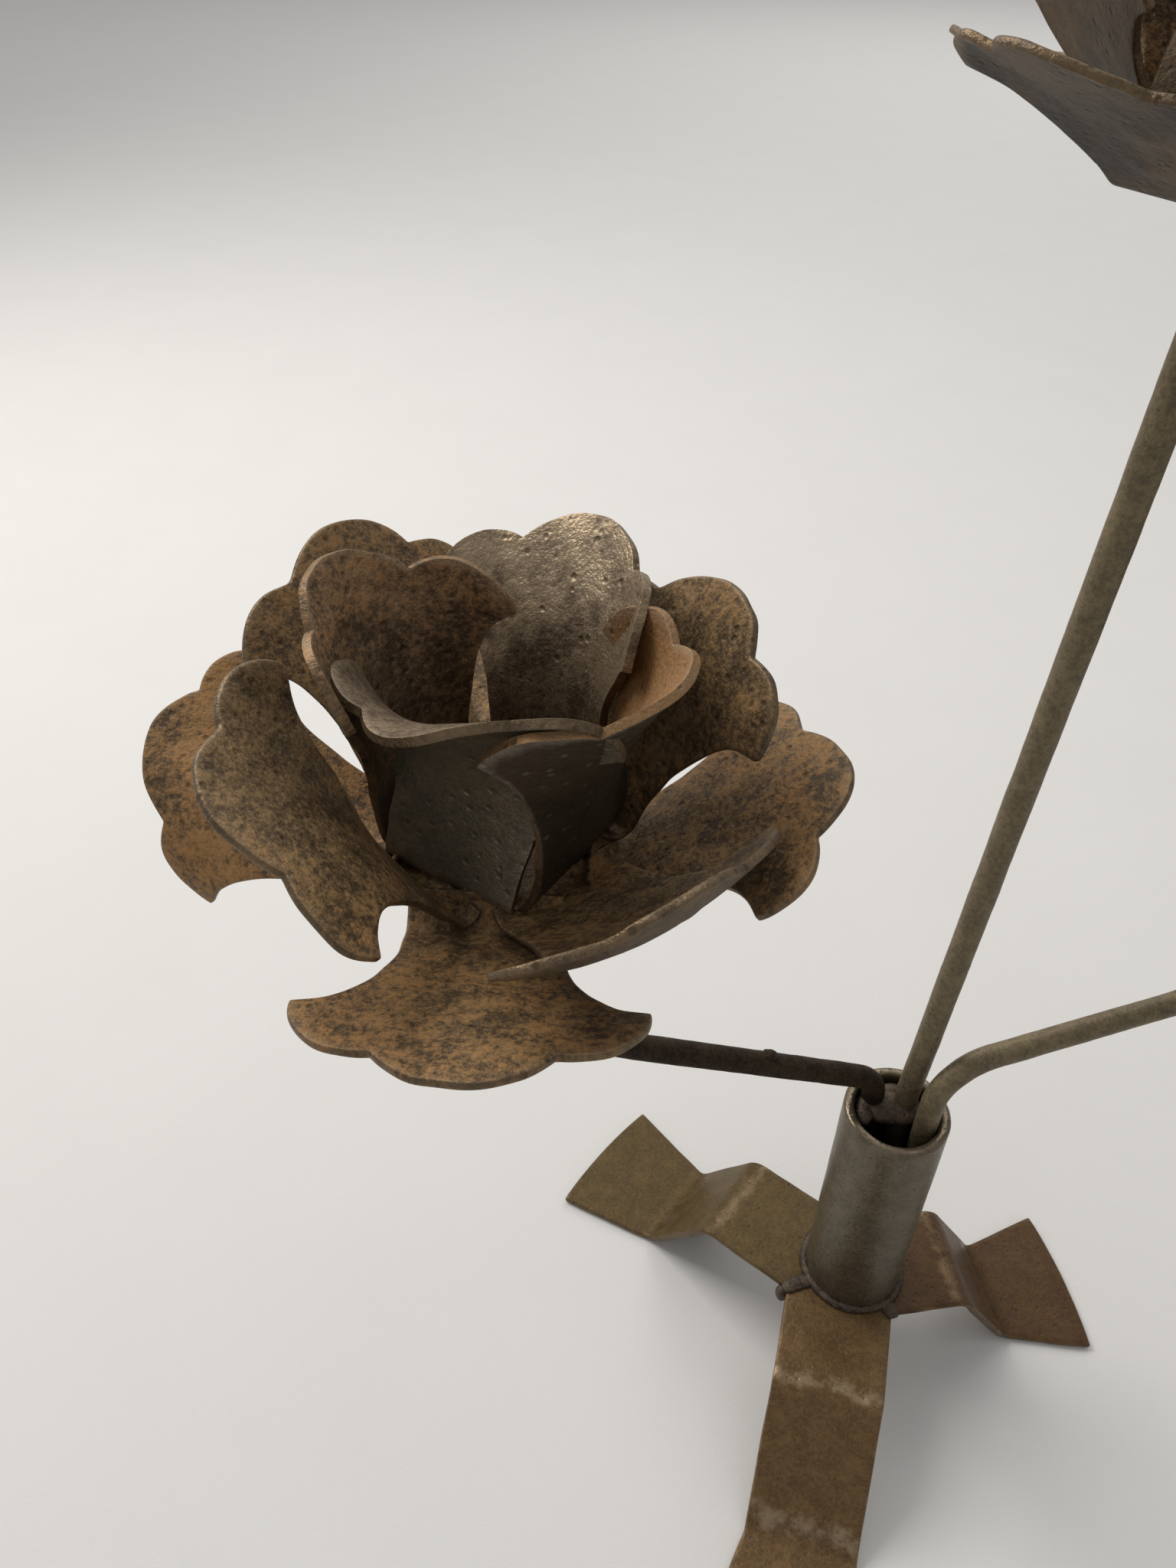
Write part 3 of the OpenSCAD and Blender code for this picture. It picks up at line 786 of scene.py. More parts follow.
@dataclass(frozen=True)
class Blank:
    """Cut sheet of four petals before it is folded, in millimetres."""

    fold: float
    fold_r: float
    level: float
    grow: float = 1.0
    neck_w: float = 10.8
    neck_len: float = 22.0
    wing_len: float = 40.0
    wing_w: float = 21.4
    notch_len: float = 49.6
    notch_w: float = 10.5
    tip_len: float = 55.6
    side_bulge: float = 3.4
    curl_len: float = 28.0
    side_curl_from: float = 15.0
    side_curl_to: float = 34.0
    lobe_share: float = 0.4

    def rim(self, u: float) -> Vector:
        """Point of the rim, as sideways and out, for u from -1 to 1.

        Args:
            u: Across the petal, from -1 at its right to 1 at its left.

        Returns:
            The point, sideways and out.
        """
        wing = Vector((self.wing_w, self.wing_len)) * self.grow
        notch = Vector((self.notch_w, self.notch_len)) * self.grow
        far = Vector((-notch.x, notch.y))
        if abs(u) <= self.lobe_share:
            rise = self.grow * (self.tip_len - self.notch_len)
            return bulge(far, notch, rise, (u / self.lobe_share + 1) / 2)
        share = (abs(u) - self.lobe_share) / (1 - self.lobe_share)
        point = bulge(Vector((-wing.x, wing.y)), far, self.side_bulge, 1 - share)
        return Vector((math.copysign(point.x, u), point.y))

    def half_width(self, out: float) -> float:
        """Half of a petal's width this far from the blank's centre.

        Args:
            out: Distance from the blank's centre.

        Returns:
            Half of the width.
        """
        if out <= self.neck_len:
            return self.neck_w
        x = (out - self.neck_len) / (self.grow * self.wing_len - self.neck_len)
        wing = self.grow * self.wing_w
        return wing - (wing - self.neck_w) * math.sqrt(max(0.0, 1 - x * x))

    def flat(self, u: float, v: float) -> tuple[float, float]:
        """Place on the flat blank, out and sideways.

        Args:
            u: Across the petal, from -1 at its right to 1 at its left.
            v: From 0 at the fold to 1 at the rim.

        Returns:
            The way out and the way sideways.
        """
        edge = self.rim(u)
        out = self.fold + (self.grow * self.wing_len - self.fold) * v
        share = v * v
        across = (1 - share) * u + share * edge.x / (self.grow * self.wing_w)
        return self.fold + (edge.y - self.fold) * v, self.half_width(out) * across

    def bend(self, out: float, side: float, petal: Petal) -> tuple[Vector, Vector]:
        """Brings a place on the blank to the bent petal.

        Args:
            out: Way out on the blank.
            side: Way sideways on the blank.
            petal: The petal's angles.

        Returns:
            The place and its normal, as out, sideways and up.
        """
        length = self.grow * self.tip_len
        lift, sweep, tip = map(math.radians, (petal.lift, petal.sweep, petal.tip))
        x = out - self.fold
        fold_len = abs(lift) * self.fold_r
        sweep_len = max(self.curl_len - self.fold, fold_len) - fold_len
        d1 = min(x, fold_len)
        d2 = min(max(x - fold_len, 0.0), sweep_len)
        d3 = max(x - fold_len - sweep_len, 0.0)
        k1 = math.copysign(1.0 / self.fold_r, lift)
        k2 = sweep / (length - self.fold)
        k3 = k2 + tip / (length - self.curl_len)
        a1 = k1 * d1
        a2 = a1 + k2 * d2
        a3 = a2 + k3 * d3
        runs = (arc_run(0.0, k1, d1), arc_run(a1, k2, d2), arc_run(a2, k3, d3))
        along, up = (sum(part) for part in zip(*runs))
        share = smooth((out - self.side_curl_from) / (self.side_curl_to - self.side_curl_from))
        curl = math.radians(petal.left if side > 0 else petal.right) * share / (self.grow * self.wing_w)
        across = arc_run(0.0, curl, abs(side))
        twist = math.radians(petal.twist) * x / (length - self.fold)
        lean = math.tan(math.radians(petal.lean)) * x
        normal = Vector((-math.sin(a3), 0.0, math.cos(a3)))
        level = Vector((0.0, 1.0, 0.0))
        tilted_side = math.cos(twist) * level + math.sin(twist) * normal
        tilted_up = math.cos(twist) * normal - math.sin(twist) * level
        way = math.copysign(across[0], side) * tilted_side + across[1] * tilted_up
        lean_over = curl * side
        place = Vector((self.fold + along, lean, up)) + way
        return place, math.cos(lean_over) * tilted_up - math.sin(lean_over) * tilted_side


@dataclass
class Sheet:
    """One folded sheet of four petals on the end of a bar."""

    piece: Piece
    blank: Blank
    turn: float
    petals: Sequence[Petal]
    seed: float
    thickness: float = 1.2
    rounding: float = 0.36
    columns: int = 40
    rows: int = 36
    root_rows: int = 2
    root_ease: float = 4.0
    rim_run: float = 30.0
    edge_reach: float = 2.6
    seam: float = 0.02
    seed_step: float = 1.7
    tip_wave: Wave = Wave(0.5, 4.0)
    side_wave: Wave = Wave(0.4, 5.0, 3.0)
    hammering: Hammering = Hammering()

    def edge(self, u: float, v: float, out: float) -> float:
        """How near a place on a petal is to its rim, from 0 to 1 on the rim.

        Args:
            u: Across, from -1 at the right to 1 at the left.
            v: From 0 at the root to 1 at the end.
            out: Way out on the blank.

        Returns:
            The nearness, 0 well inside.
        """
        half = self.blank.half_width(min(out, self.blank.wing_len))
        gap = min((1 - v) * self.rim_run, (1 - abs(u)) * half)
        return max(0.0, 1.0 - gap / self.edge_reach)

    def add_petal(self, bm: Mesh, index: int) -> None:
        """Adds one petal, flat at its root and bent beyond.

        Args:
            bm: Mesh that gets the petal.
            index: Which of the four petals.
        """
        petal, blank = self.petals[index], self.blank
        painted = {layer: bm.verts.layers.float[layer.value] for layer in Layer}
        patina = petal.patina
        # Rust, scuffing that on some cup petals is also painted light, and scale that on some cup petals is
        # also painted shade, each from root to rim
        ends = {Layer.RUST: patina.rust, Layer.WEAR_AND_PAINTED_LIGHT: patina.wear, Layer.BLACK: patina.black}
        rows = self.rows + self.root_rows
        made = bmesh.ops.create_grid(bm, x_segments=self.columns, y_segments=rows, size=1.0)
        turn = Matrix.Rotation(math.radians(self.turn) + math.tau * index / PETAL_COUNT, 4, "Z")
        seed = self.seed + index * self.seed_step
        for vert in made["verts"]:
            u, row = -vert.co.x, (vert.co.y + 1) / 2 * rows
            v = max(0.0, row - self.root_rows) / self.rows
            out, side = blank.flat(u, v)
            if row < self.root_rows:
                out += (blank.neck_w - blank.fold) * (1 - row / self.root_rows)
            flat = Vector((out, side, seed))
            free = smooth(v * self.root_ease)
            out += free * v**3 * self.tip_wave.at(flat, seed)
            side += free * abs(u) ** 3 * self.side_wave.at(flat, seed)
            place, normal = blank.bend(out, side, petal)
            place += normal * free * self.hammering.at(flat, seed)
            vert[painted[Layer.EDGE]] = self.edge(u, v, out)
            for layer, span in ends.items():
                vert[painted[layer]] = part_way(span, v)
            vert.co = turn @ (place + Vector((0.0, 0.0, blank.level)))

    def add_plate(self, bm: Mesh) -> None:
        """Adds the flat middle that joins the four petals.

        Args:
            bm: Mesh that gets the middle.
        """
        cells, size = self.columns, self.blank.neck_w
        turn = Matrix.Rotation(math.radians(self.turn), 4, "Z")
        lift = Matrix.Translation((0, 0, self.blank.level))
        bmesh.ops.create_grid(bm, x_segments=cells, y_segments=cells, size=size, matrix=turn @ lift)

    def build(self, frame: Matrix, materials: Finishes) -> None:
        """Builds the sheet on the end of its bar.

        Args:
            frame: The bar's end, with the whole's own x.
            materials: Finished materials by name.
        """
        bm = bmesh.new()
        for layer in Layer:
            bm.verts.layers.float.new(layer.value)
        self.add_plate(bm)
        for index in range(PETAL_COUNT):
            self.add_petal(bm, index)
        bmesh.ops.remove_doubles(bm, verts=bm.verts, dist=self.seam)
        bmesh.ops.transform(bm, matrix=frame, verts=bm.verts)
        piece = self.piece.finish(bm, materials)
        thicken(piece, self.thickness)
        round_off(piece, self.rounding, segments=2)
        smooth_over(piece)


# Bars


@dataclass(frozen=True)
class Step:
    """Straight run of a bar, with the bend that ends it."""

    length: float
    toward: float = 0.0
    angle: float = 0.0
    radius: float = 1.0


@dataclass(frozen=True)
class Lump:
    """Small lump on a bar: how far along it, the angle around it and its half sizes."""

    share: float
    around: float
    size: Triple


@dataclass
class Bar:
    """Round bar from its foot in the pipe to the rose on its end."""

    piece: Piece
    seat_angle: float
    seat_share: float
    foot_z: float
    steps: Sequence[Step]
    seed: float
    lumps: Sequence[Lump] = ()
    diameter: float = 6.0
    seat_r: float = 7.8
    run_step: float = 2.0
    bend_step: float = 2.5
    sides: int = 24
    stack: float = 3.6
    head: Triple = (4.0, 4.0, 1.3)
    waves: Sequence[Wave] = (Wave(0.10, 9.0), Wave(0.06, 2.5, 1.0))
    sink: float = 0.05
    lump_sink: float = 0.2

    def frames(self) -> list[Matrix]:
        """Frames along the bar, its z along the bar, from the foot to the end.

        Returns:
            The frames, in order.
        """
        angle, away = math.radians(self.seat_angle), self.seat_share * self.seat_r
        frames = [Matrix.Translation((away * math.cos(angle), away * math.sin(angle), self.foot_z))]
        for step in self.steps:
            start, parts = frames[-1], max(1, round(step.length / self.run_step))
            climbs = [step.length * k / parts for k in range(1, parts + 1)]
            frames += [start @ Matrix.Translation((0, 0, climb)) for climb in climbs]
            if step.angle:
                start, rings = frames[-1], math.ceil(step.angle / self.bend_step)
                frames += [start @ self.bend(step, k / rings) for k in range(1, rings + 1)]
        return frames

    @staticmethod
    def bend(step: Step, share: float) -> Matrix:
        """Move from a bend's start to this share of it.

        Args:
            step: Run that the bend ends.
            share: How much of the bend is done.

        Returns:
            The move.
        """
        angle, toward = math.radians(step.angle * share), math.radians(step.toward)
        shift = Vector((step.radius * (1 - math.cos(angle)), 0.0, step.radius * math.sin(angle)))
        tip = Matrix.Translation(shift) @ Matrix.Rotation(angle, 4, "Y")
        return Matrix.Rotation(toward, 4, "Z") @ tip @ Matrix.Rotation(-toward, 4, "Z")

    def end(self) -> Matrix:
        """Frame of the rose: z along the bar's end, turned back to the whole's x."""
        frame = self.frames()[-1]
        return frame @ Matrix.Rotation(-math.atan2(frame[1][0], frame[0][0]), 4, "Z")

    def build(self, materials: Finishes) -> None:
        """Builds the bar, its peened head in the cup and the lumps on it.

        Args:
            materials: Finished materials by name.
        """
        frames = self.frames()
        bm = bmesh.new()
        ring = bmesh.ops.create_circle(bm, segments=self.sides, radius=self.diameter / 2)["verts"]
        bmesh.ops.transform(bm, matrix=frames[0], verts=ring)
        edges = list(bm.edges)
        bmesh.ops.contextual_create(bm, geom=edges)
        for before, after in zip(frames, frames[1:]):
            made = bmesh.ops.extrude_edge_only(bm, edges=edges)["geom"]
            edges = [item for item in made if isinstance(item, bmesh.types.BMEdge)]
            verts = [item for item in made if isinstance(item, bmesh.types.BMVert)]
            bmesh.ops.transform(bm, matrix=after @ before.inverted(), verts=verts)
        bmesh.ops.contextual_create(bm, geom=edges)
        bmesh.ops.recalc_face_normals(bm, faces=bm.faces)
        bm.normal_update()
        for vert in bm.verts:
            vert.co += vert.normal * (uneven(vert.co, self.seed, self.waves) - self.sink)
        add_lump(bm, frames[-1] @ Matrix.Translation((0, 0, self.stack)), self.head, self.seed)
        out = Matrix.Translation((self.diameter / 2 - self.lump_sink, 0, 0))
        for lump in self.lumps:
            around = Matrix.Rotation(math.radians(lump.around), 4, "Z")
            place = frames[round(lump.share * (len(frames) - 1))]
            add_lump(bm, place @ around @ out, lump.size, self.seed + lump.around)
        self.piece.finish(bm, materials)


# Stand


@dataclass
class FlatLeg:
    """Leg of flat bar, bent at its shoulder and heel, with a flared toe."""

    piece: Piece
    angle: float
    shift: float
    shoulder: float
    heel: float
    toe: float
    height: float
    seed: float
    width: float = 30.0
    thickness: float = 3.0
    toe_width: float = 43.0
    toe_bulge: float = 1.5
    shoulder_r: float = 8.0
    heel_r: float = 5.0
    columns: int = 20
    rows: int = 72
    root_ease: float = 4.0
    seat: float = 16.0
    seat_ease: float = 10.0
    side_wave: Wave = Wave(0.25, 9.0)
    waves: Sequence[Wave] = (Wave(0.24, 16.0), Wave(0.1, 5.0, 2.0))
    sink: float = 0.2
    wave_room: float = 0.5
    rounding: float = 0.6
    edge_reach: float = 3.0
    edge_ease: float = 6.0
    toe_run: float = 60.0
    # Painted highlight on the bends, partly real rubbing: its strength, its reach and how far past the
    # shoulder and the heel it peaks
    bend_rub_and_highlight: float = 1.1
    bend_highlight_reach: float = 6.0
    shoulder_highlight_shift: float = 3.0
    heel_highlight_shift: float = 4.0

    def side(self) -> Vector:
        """Level direction to the leg's left."""
        turn = math.radians(self.angle)
        return Vector((-math.sin(turn), math.cos(turn)))

    def meets(self, following: FlatLeg) -> Vector:
        """Notch where this leg's left side meets the next leg's right side.

        Args:
            following: The next leg.

        Returns:
            The notch, seen from above.
        """
        a, b = self.side(), following.side()
        da, db = self.shift + self.width / 2, following.shift - following.width / 2
        det = a.x * b.y - a.y * b.x
        return Vector(((da * b.y - db * a.y) / det, (a.x * db - b.x * da) / det))

    def own(self, point: Vector) -> Vector:
        """A level point seen along this leg.

        Args:
            point: The point, seen from above.

        Returns:
            The point, as along the leg and to its left.
        """
        turn = math.radians(self.angle)
        along = Vector((math.cos(turn), math.sin(turn)))
        return Vector((point.dot(along), point.dot(self.side())))

    def profile(self, x: float) -> tuple[float, float]:
        """Height and slope of the bar's middle layer.

        Args:
            x: Distance from the pipe's axis.

        Returns:
            The height, and the slope down and outwards in radians.
        """
        half = self.thickness / 2
        slope = math.atan2(self.height - self.thickness, self.heel - self.shoulder)
        top = Vector((self.shoulder - self.shoulder_r * math.tan(slope / 2), self.height - self.shoulder_r))
        low = Vector((self.heel + self.heel_r * math.tan(slope / 2), self.thickness + self.heel_r))
        top_r, low_r = self.shoulder_r - half, self.heel_r + half
        if x <= top.x:
            return self.height - half, 0.0
        if x <= top.x + top_r * math.sin(slope):
            turn = math.asin((x - top.x) / top_r)
            return top.y + top_r * math.cos(turn), turn
        if x >= low.x:
            return half, 0.0
        if x >= low.x - low_r * math.sin(slope):
            turn = math.asin((low.x - x) / low_r)
            return low.y - low_r * math.cos(turn), turn
        start = top + top_r * Vector((math.sin(slope), math.cos(slope)))
        return start.y - (x - start.x) * math.tan(slope), slope

    def level_place(self, u: float, v: float, right: Vector, left: Vector) -> tuple[Vector, float]:
        """Place on the leg seen from above.

        Args:
            u: Across the leg, from -1 at its right to 1 at its left.
            v: From 0 at the notches to 1 at the toe.
            right: Notch on the leg's right.
            left: Notch on its left.

        Returns:
            The place, as along and sideways with the seed as its height, and half the leg's width there.
        """
        inner = left * u if u > 0 else right * -u
        corner = Vector((self.toe_width / 2, 0.0))
        end = bulge(-corner, corner, self.toe_bulge, (u + 1) / 2)
        x = inner.x + (self.toe + end.y - inner.x) * v
        flare = max(0.0, (x - self.heel) / (self.toe - self.heel))
        half = (self.width + (self.toe_width - self.width) * flare) / 2
        y = inner.y + (self.shift + u * half - inner.y) * smooth(v * self.root_ease)
        return Vector((x, y, self.seed)), half

    def edge(self, u: float, v: float, half: float) -> float:
        """How near a place is to the leg's rim, from 0 to 1 on the rim.

        Args:
            u: Across, from -1 at the right to 1 at the left.
            v: From 0 at the root to 1 at the end.
            half: Half of the leg's width there.

        Returns:
            The nearness, 0 well inside.
        """
        gap = min((1 - abs(u)) * half, (1 - v) * self.toe_run)
        return max(0.0, 1 - gap / self.edge_reach) * smooth(v * self.edge_ease)

    def build(self, before: Vector, after: Vector, materials: Finishes) -> None:
        """Builds the leg.

        Args:
            before: Notch that it shares with the leg on its right.
            after: Notch that it shares with the leg on its left.
            materials: Finished materials by name.
        """
        right, left = self.own(before), self.own(after)
        bm = bmesh.new()
        edge, wear = (bm.verts.layers.float.new(layer.value) for layer in (Layer.EDGE, Layer.WEAR_AND_PAINTED_LIGHT))
        made = bmesh.ops.create_grid(bm, x_segments=self.columns, y_segments=self.rows, size=1.0)
        turn = Matrix.Rotation(math.radians(self.angle), 4, "Z")
        for vert in made["verts"]:
            u, v = -vert.co.x, (vert.co.y + 1) / 2
            flat, half = self.level_place(u, v, right, left)
            y = flat.y + abs(u) * self.side_wave.at(flat, self.seed)
            height, slope = self.profile(flat.x)
            free = smooth((flat.x - self.seat) / self.seat_ease)
            dent = free * (uneven(flat, self.seed, self.waves) - self.sink)
            normal = Vector((math.sin(slope), 0.0, math.cos(slope)))
            # Painted highlight, partly real rubbing: the value peaks just past the shoulder and the heel,
            # so the bends take the lighter rubbing colour
            shoulder, heel = flat.x - self.shoulder + self.shoulder_highlight_shift, flat.x - self.heel + self.heel_highlight_shift
            vert[edge] = self.edge(u, v, half)
            vert[wear] = self.bend_rub_and_highlight * smooth(1 - min(abs(shoulder), abs(heel)) / self.bend_highlight_reach)
            vert.co = turn @ (Vector((flat.x, y, height)) + normal * dent)
        piece = self.piece.finish(bm, materials)
        thicken(piece, self.thickness - self.wave_room)
        round_off(piece, self.rounding, segments=3)


@dataclass
class PipeSocket:
    """Short pipe on the legs, its mouth and foot slightly rounded."""

    piece: Piece
    foot_z: float
    length: float
    seed: float
    outer_r: float = 13.45
    wall: float = 2.65
    rows: int = 60
    sides: int = 96
    lip: float = 1.0
    inner_lip: Sequence[Span] = ((0.0, -0.9), (0.35, -0.25), (0.9, 0.0))
    outer_lip: Sequence[Span] = ((-0.9, 0.0), (-0.3, -0.3), (0.0, -0.95))
    waves: Sequence[Wave] = (Wave(0.12, 14.0), Wave(0.04, 3.0, 1.0))
    sink: float = 0.06
    mouth_wave: Wave = Wave(0.3, 5.0, 2.0)
    mouth_sink: float = 0.3
    mouth_reach: float = 2.0
    mouth_rub: float = 3.5
    foot_rub: float = 3.0
    foot_wear: float = 0.6

    def outline(self) -> list[Span]:
        """Section of the wall: distance from the axis and height over the mouth.

        Returns:
            Its points, in order.
        """
        inner, run = self.outer_r - self.wall, self.length - self.lip
        heights = [-self.lip - (run - self.lip) * (1 - k / self.rows) for k in range(self.rows)]
        bore = [(inner, height) for height in heights]
        mouth = [(inner + x, z) for x, z in self.inner_lip]
        mouth += [(self.outer_r + x, z) for x, z in self.outer_lip]
        skin = [(self.outer_r, -self.lip - run * (k + 1) / self.rows) for k in range(self.rows)]
        return bore + mouth + skin

    def build(self, materials: Finishes) -> None:
        """Builds the pipe by turning its wall around the axis.

        Args:
            materials: Finished materials by name.
        """
        top = self.foot_z + self.length
        bm = bmesh.new()
        edge = bm.verts.layers.float.new(Layer.EDGE.value)
        line = [bm.verts.new((r, 0.0, top + z)) for r, z in self.outline()]
        chain = [bm.edges.new(pair) for pair in zip(line, line[1:] + line[:1])]
        bmesh.ops.spin(
            bm, geom=line + chain, axis=(0, 0, 1), cent=(0, 0, 0),
            angle=math.tau, steps=self.sides, use_merge=True,
        )
        merged(bm)
        for vert in bm.verts:
            down, up = top - vert.co.z, vert.co.z - self.foot_z
            foot = self.foot_wear * smooth(1 - up / self.foot_rub)
            vert[edge] = max(smooth(1 - down / self.mouth_rub), foot)
            out = Vector((vert.co.x, vert.co.y, 0.0)).normalized()
            vert.co += out * (uneven(vert.co, self.seed, self.waves) - self.sink)
            lift = self.mouth_wave.at(vert.co, self.seed) - self.mouth_sink
            vert.co.z += lift * smooth(1 - down / self.mouth_reach)
        self.piece.finish(bm, materials)


@dataclass
class Bead:
    """Weld made of overlapping lumps, one row of them after the other."""

    piece: Piece
    seed: float
    rows: Sequence[Row]
    seed_step: float = 0.37
    detail: int = 2

    def build(self, frame: Matrix, materials: Finishes) -> None:
        """Builds the bead in a frame.

        Args:
            frame: Frame that its rows are in.
            materials: Finished materials by name.
        """
        bm = bmesh.new()
        bm.verts.layers.float.new(Layer.EDGE.value)
        for row in self.rows:
            for index, (place, turn, size) in enumerate(row):
                own = frame @ Matrix.Translation(place) @ Matrix.Rotation(turn, 4, "Z")
                add_lump(bm, own, size, self.seed + index * self.seed_step, self.detail)
        merged(bm)
        smooth_over(self.piece.finish(bm, materials))


def ring_row(radius: float, height: float, count: int, size: Triple, span: Span = (0.0, 360.0)) -> Row:
    """Row of lumps round the axis.

    Args:
        radius: Distance of the lumps from the axis.
        height: Their height.
        count: How many there are.
        size: Half sizes outwards, along the row and up.
        span: Angles between which the row runs, in degrees.

    Returns:
        Each lump's place, turn and size.
    """
    turns = [math.radians(part_way(span, index / count)) for index in range(count)]
    places = [Vector((radius * math.cos(turn), radius * math.sin(turn), height)) for turn in turns]
    return [(place, turn, size) for place, turn in zip(places, turns)]


def line_row(start: Vector, end: Vector, count: int, size: Triple) -> Row:
    """Row of lumps along a straight line.

    Args:
        start: Its start.
        end: Its end.
        count: How many lumps there are.
        size: Half sizes along the row, across it and up.

    Returns:
        Each lump's place, turn and size.
    """
    way = end - start
    turn = math.atan2(way.y, way.x)
    return [(start + way * index / max(1, count - 1), turn, size) for index in range(count)]


# The whole

ROSE_PETALS: dict[Side, dict[Tier, tuple[float, Sequence[Petal]]]] = {
    Side.LEFT: {
        Tier.OUTER: (-93, [
            Petal(23, 9, -13, 0, 0, 3, 3, Patina((0.5, 0.6), (0.15, 0.3), (0.2, 0.1))),
            Petal(44, 2, -12, 0, 0, 2, -10, Patina((0.4, 0.5), (0.1, 0.45), (0.4, -0.2))),
            Petal(16, 4, 0, 4, 6, 0, 0),
            Petal(17, -6, 0, -78, 5, -34, -13, Patina((0.7, 0.7), (0.1, 0.45), (-0.3, -0.4))),
        ]),
        Tier.MIDDLE: (-138, [
            Petal(59, 9, -42, -17, 48, -15, 3, Patina((0.3, 0.4), (0.2, 0.2), (0.0, -0.2))),
            Petal(26, 11, 35, 17, 25, -3, -11, Patina((0.4, 0.2), (0.3, 0.3), (0.0, 0.0))),
            Petal(84, -6, -11, -12, 9, -13, -22, Patina((0.2, 0.3), (0.3, 0.4), (0.5, 0.4))),
            Petal(49, 0, 4, 3, -14, 5, -4, Patina((0.2, 0.5), (0.1, 0.4), (0.3, -0.1))),
        ]),
        Tier.CUP: (-122.7, [
            # Pale scuffs on the cup's front face: partly real scuffs, partly a painted sheen standing in
            # for reflection
            Petal(96, 2, -87, 0, 57, 27, 9, Patina((0.0, 0.1), (0.75, 0.45), (-0.5, -0.5))),
            # Painted shade: the high scale value paints the cup's shaded front-right petal nearly black;
            # its rust is real
            Petal(65, 34, -46, 81, 66, 4, -3, Patina((0.2, 2.0), (0.0, 0.2), (1.8, 1.2))),
            # Painted light and shade, partly real scuffing: the scuffing value rises towards the rim and
            # the scale value falls, so the inner face is bright at the top where light falls into the cup
            # and darker at the root
            Petal(89, -11, -38, 27, 57, -10, 0, Patina((0.1, 0.3), (0.2, 1.2), (0.4, -0.2))),
            Petal(88, -9, -14, 61, 73, 6, 11, Patina((0.1, 0.9), (0.0, 0.4), (1.1, -0.15))),
        ]),
    },
    Side.TALL: {
        Tier.OUTER: (-138.2, [
            Petal(34, -6, -4, 22, 2, -8, -12, Patina((0.0, 0.0), (0.1, 0.2), (0.8, 0.7))),
            Petal(24, 6, 4, 0, 5, -3, 0),
            Petal(25, 4, -6, 6, 4, 2, 0), Petal(20, 6, -30, 14, 6, 11, -11),
        ]),
        Tier.MIDDLE: (-172.9, [
            Petal(45.5, 9, 10, -3, 2, 2, -8, Patina((0.2, 0.3), (0.1, 0.2), (0.5, 0.4))),
            Petal(60, 2, 6, 10, 12, -4, 0),
            Petal(62, 0, -8, 12, 10, 4, -3), Petal(62, 2, -4, 8, 8, 3, 0),
        ]),
        Tier.CUP: (-161, [
            Petal(88, 2, -22, 55, 60, 0, 0), Petal(86, 0, -30, 58, 56, 3, 0),
            Petal(90, -4, -18, 54, 58, -2, 0), Petal(87, 2, -26, 58, 54, 0, 0),
        ]),
    },
    Side.RIGHT: {
        Tier.OUTER: (24, [
            Petal(22, 8, -6, 6, 2, -3, 2), Petal(30, 4, 4, 0, 6, 3, -2),
            Petal(18, 10, -4, 5, 5, 0, 3), Petal(26, 2, 8, 4, 0, 5, 0),
        ]),
        Tier.MIDDLE: (70, [
            Petal(55, 2, -8, 12, 10, 4, 0), Petal(48, 6, 10, 10, 14, -3, 3),
            Petal(62, -2, 4, 14, 12, 0, -2), Petal(52, 4, -10, 8, 12, 5, 0),
        ]),
        Tier.CUP: (82, [
            Petal(87, 0, -24, 62, 60, 0, 0), Petal(89, -2, -20, 60, 64, 2, 0),
            Petal(86, 2, -30, 64, 60, -3, 0), Petal(88, 0, -26, 60, 62, 0, 0),
        ]),
    },
}
BLANKS = {
    Tier.OUTER: Blank(fold=17.2, fold_r=4.0, level=0.6),
    Tier.MIDDLE: Blank(fold=13.4, fold_r=2.0, level=1.8, grow=1.04),
    Tier.CUP: Blank(fold=10.9, fold_r=1.5, level=3.0),
}


@dataclass(frozen=True)
class WeldSizes:
    """Sizes of the welds: where they lie, how many lumps they have and the lumps' half sizes."""

    seam_from: float = 15.4
    seam_stop: float = 1.0
    seam_lumps: int = 3
    seam: Triple = (2.7, 2.2, 0.95)
    drop_out: float = 1.6
    drop_down: float = 2.6
    drop_turn: float = 0.4
    drop: Triple = (1.8, 2.0, 3.2)
    foot_r: float = 13.7
    foot_rise: float = 0.3
    foot_lumps: int = 30
    foot: Triple = (1.5, 3.4, 1.3)
    pool_place: Span = (-0.6, 4.0)
    pool_down: float = 4.4
    pool: Triple = (9.4, 6.4, 2.7)
    mouth_r: float = 8.0
    mouth_down: float = 3.4
    mouth_lumps: int = 5
    mouth: Triple = (2.4, 3.6, 1.7)
    mouth_span: Span = (60.0, 200.0)
    rose_r: float = 3.7
    rose_down: float = 0.9
    rose_lumps: int = 12
    rose: Triple = (1.3, 1.2, 1.3)


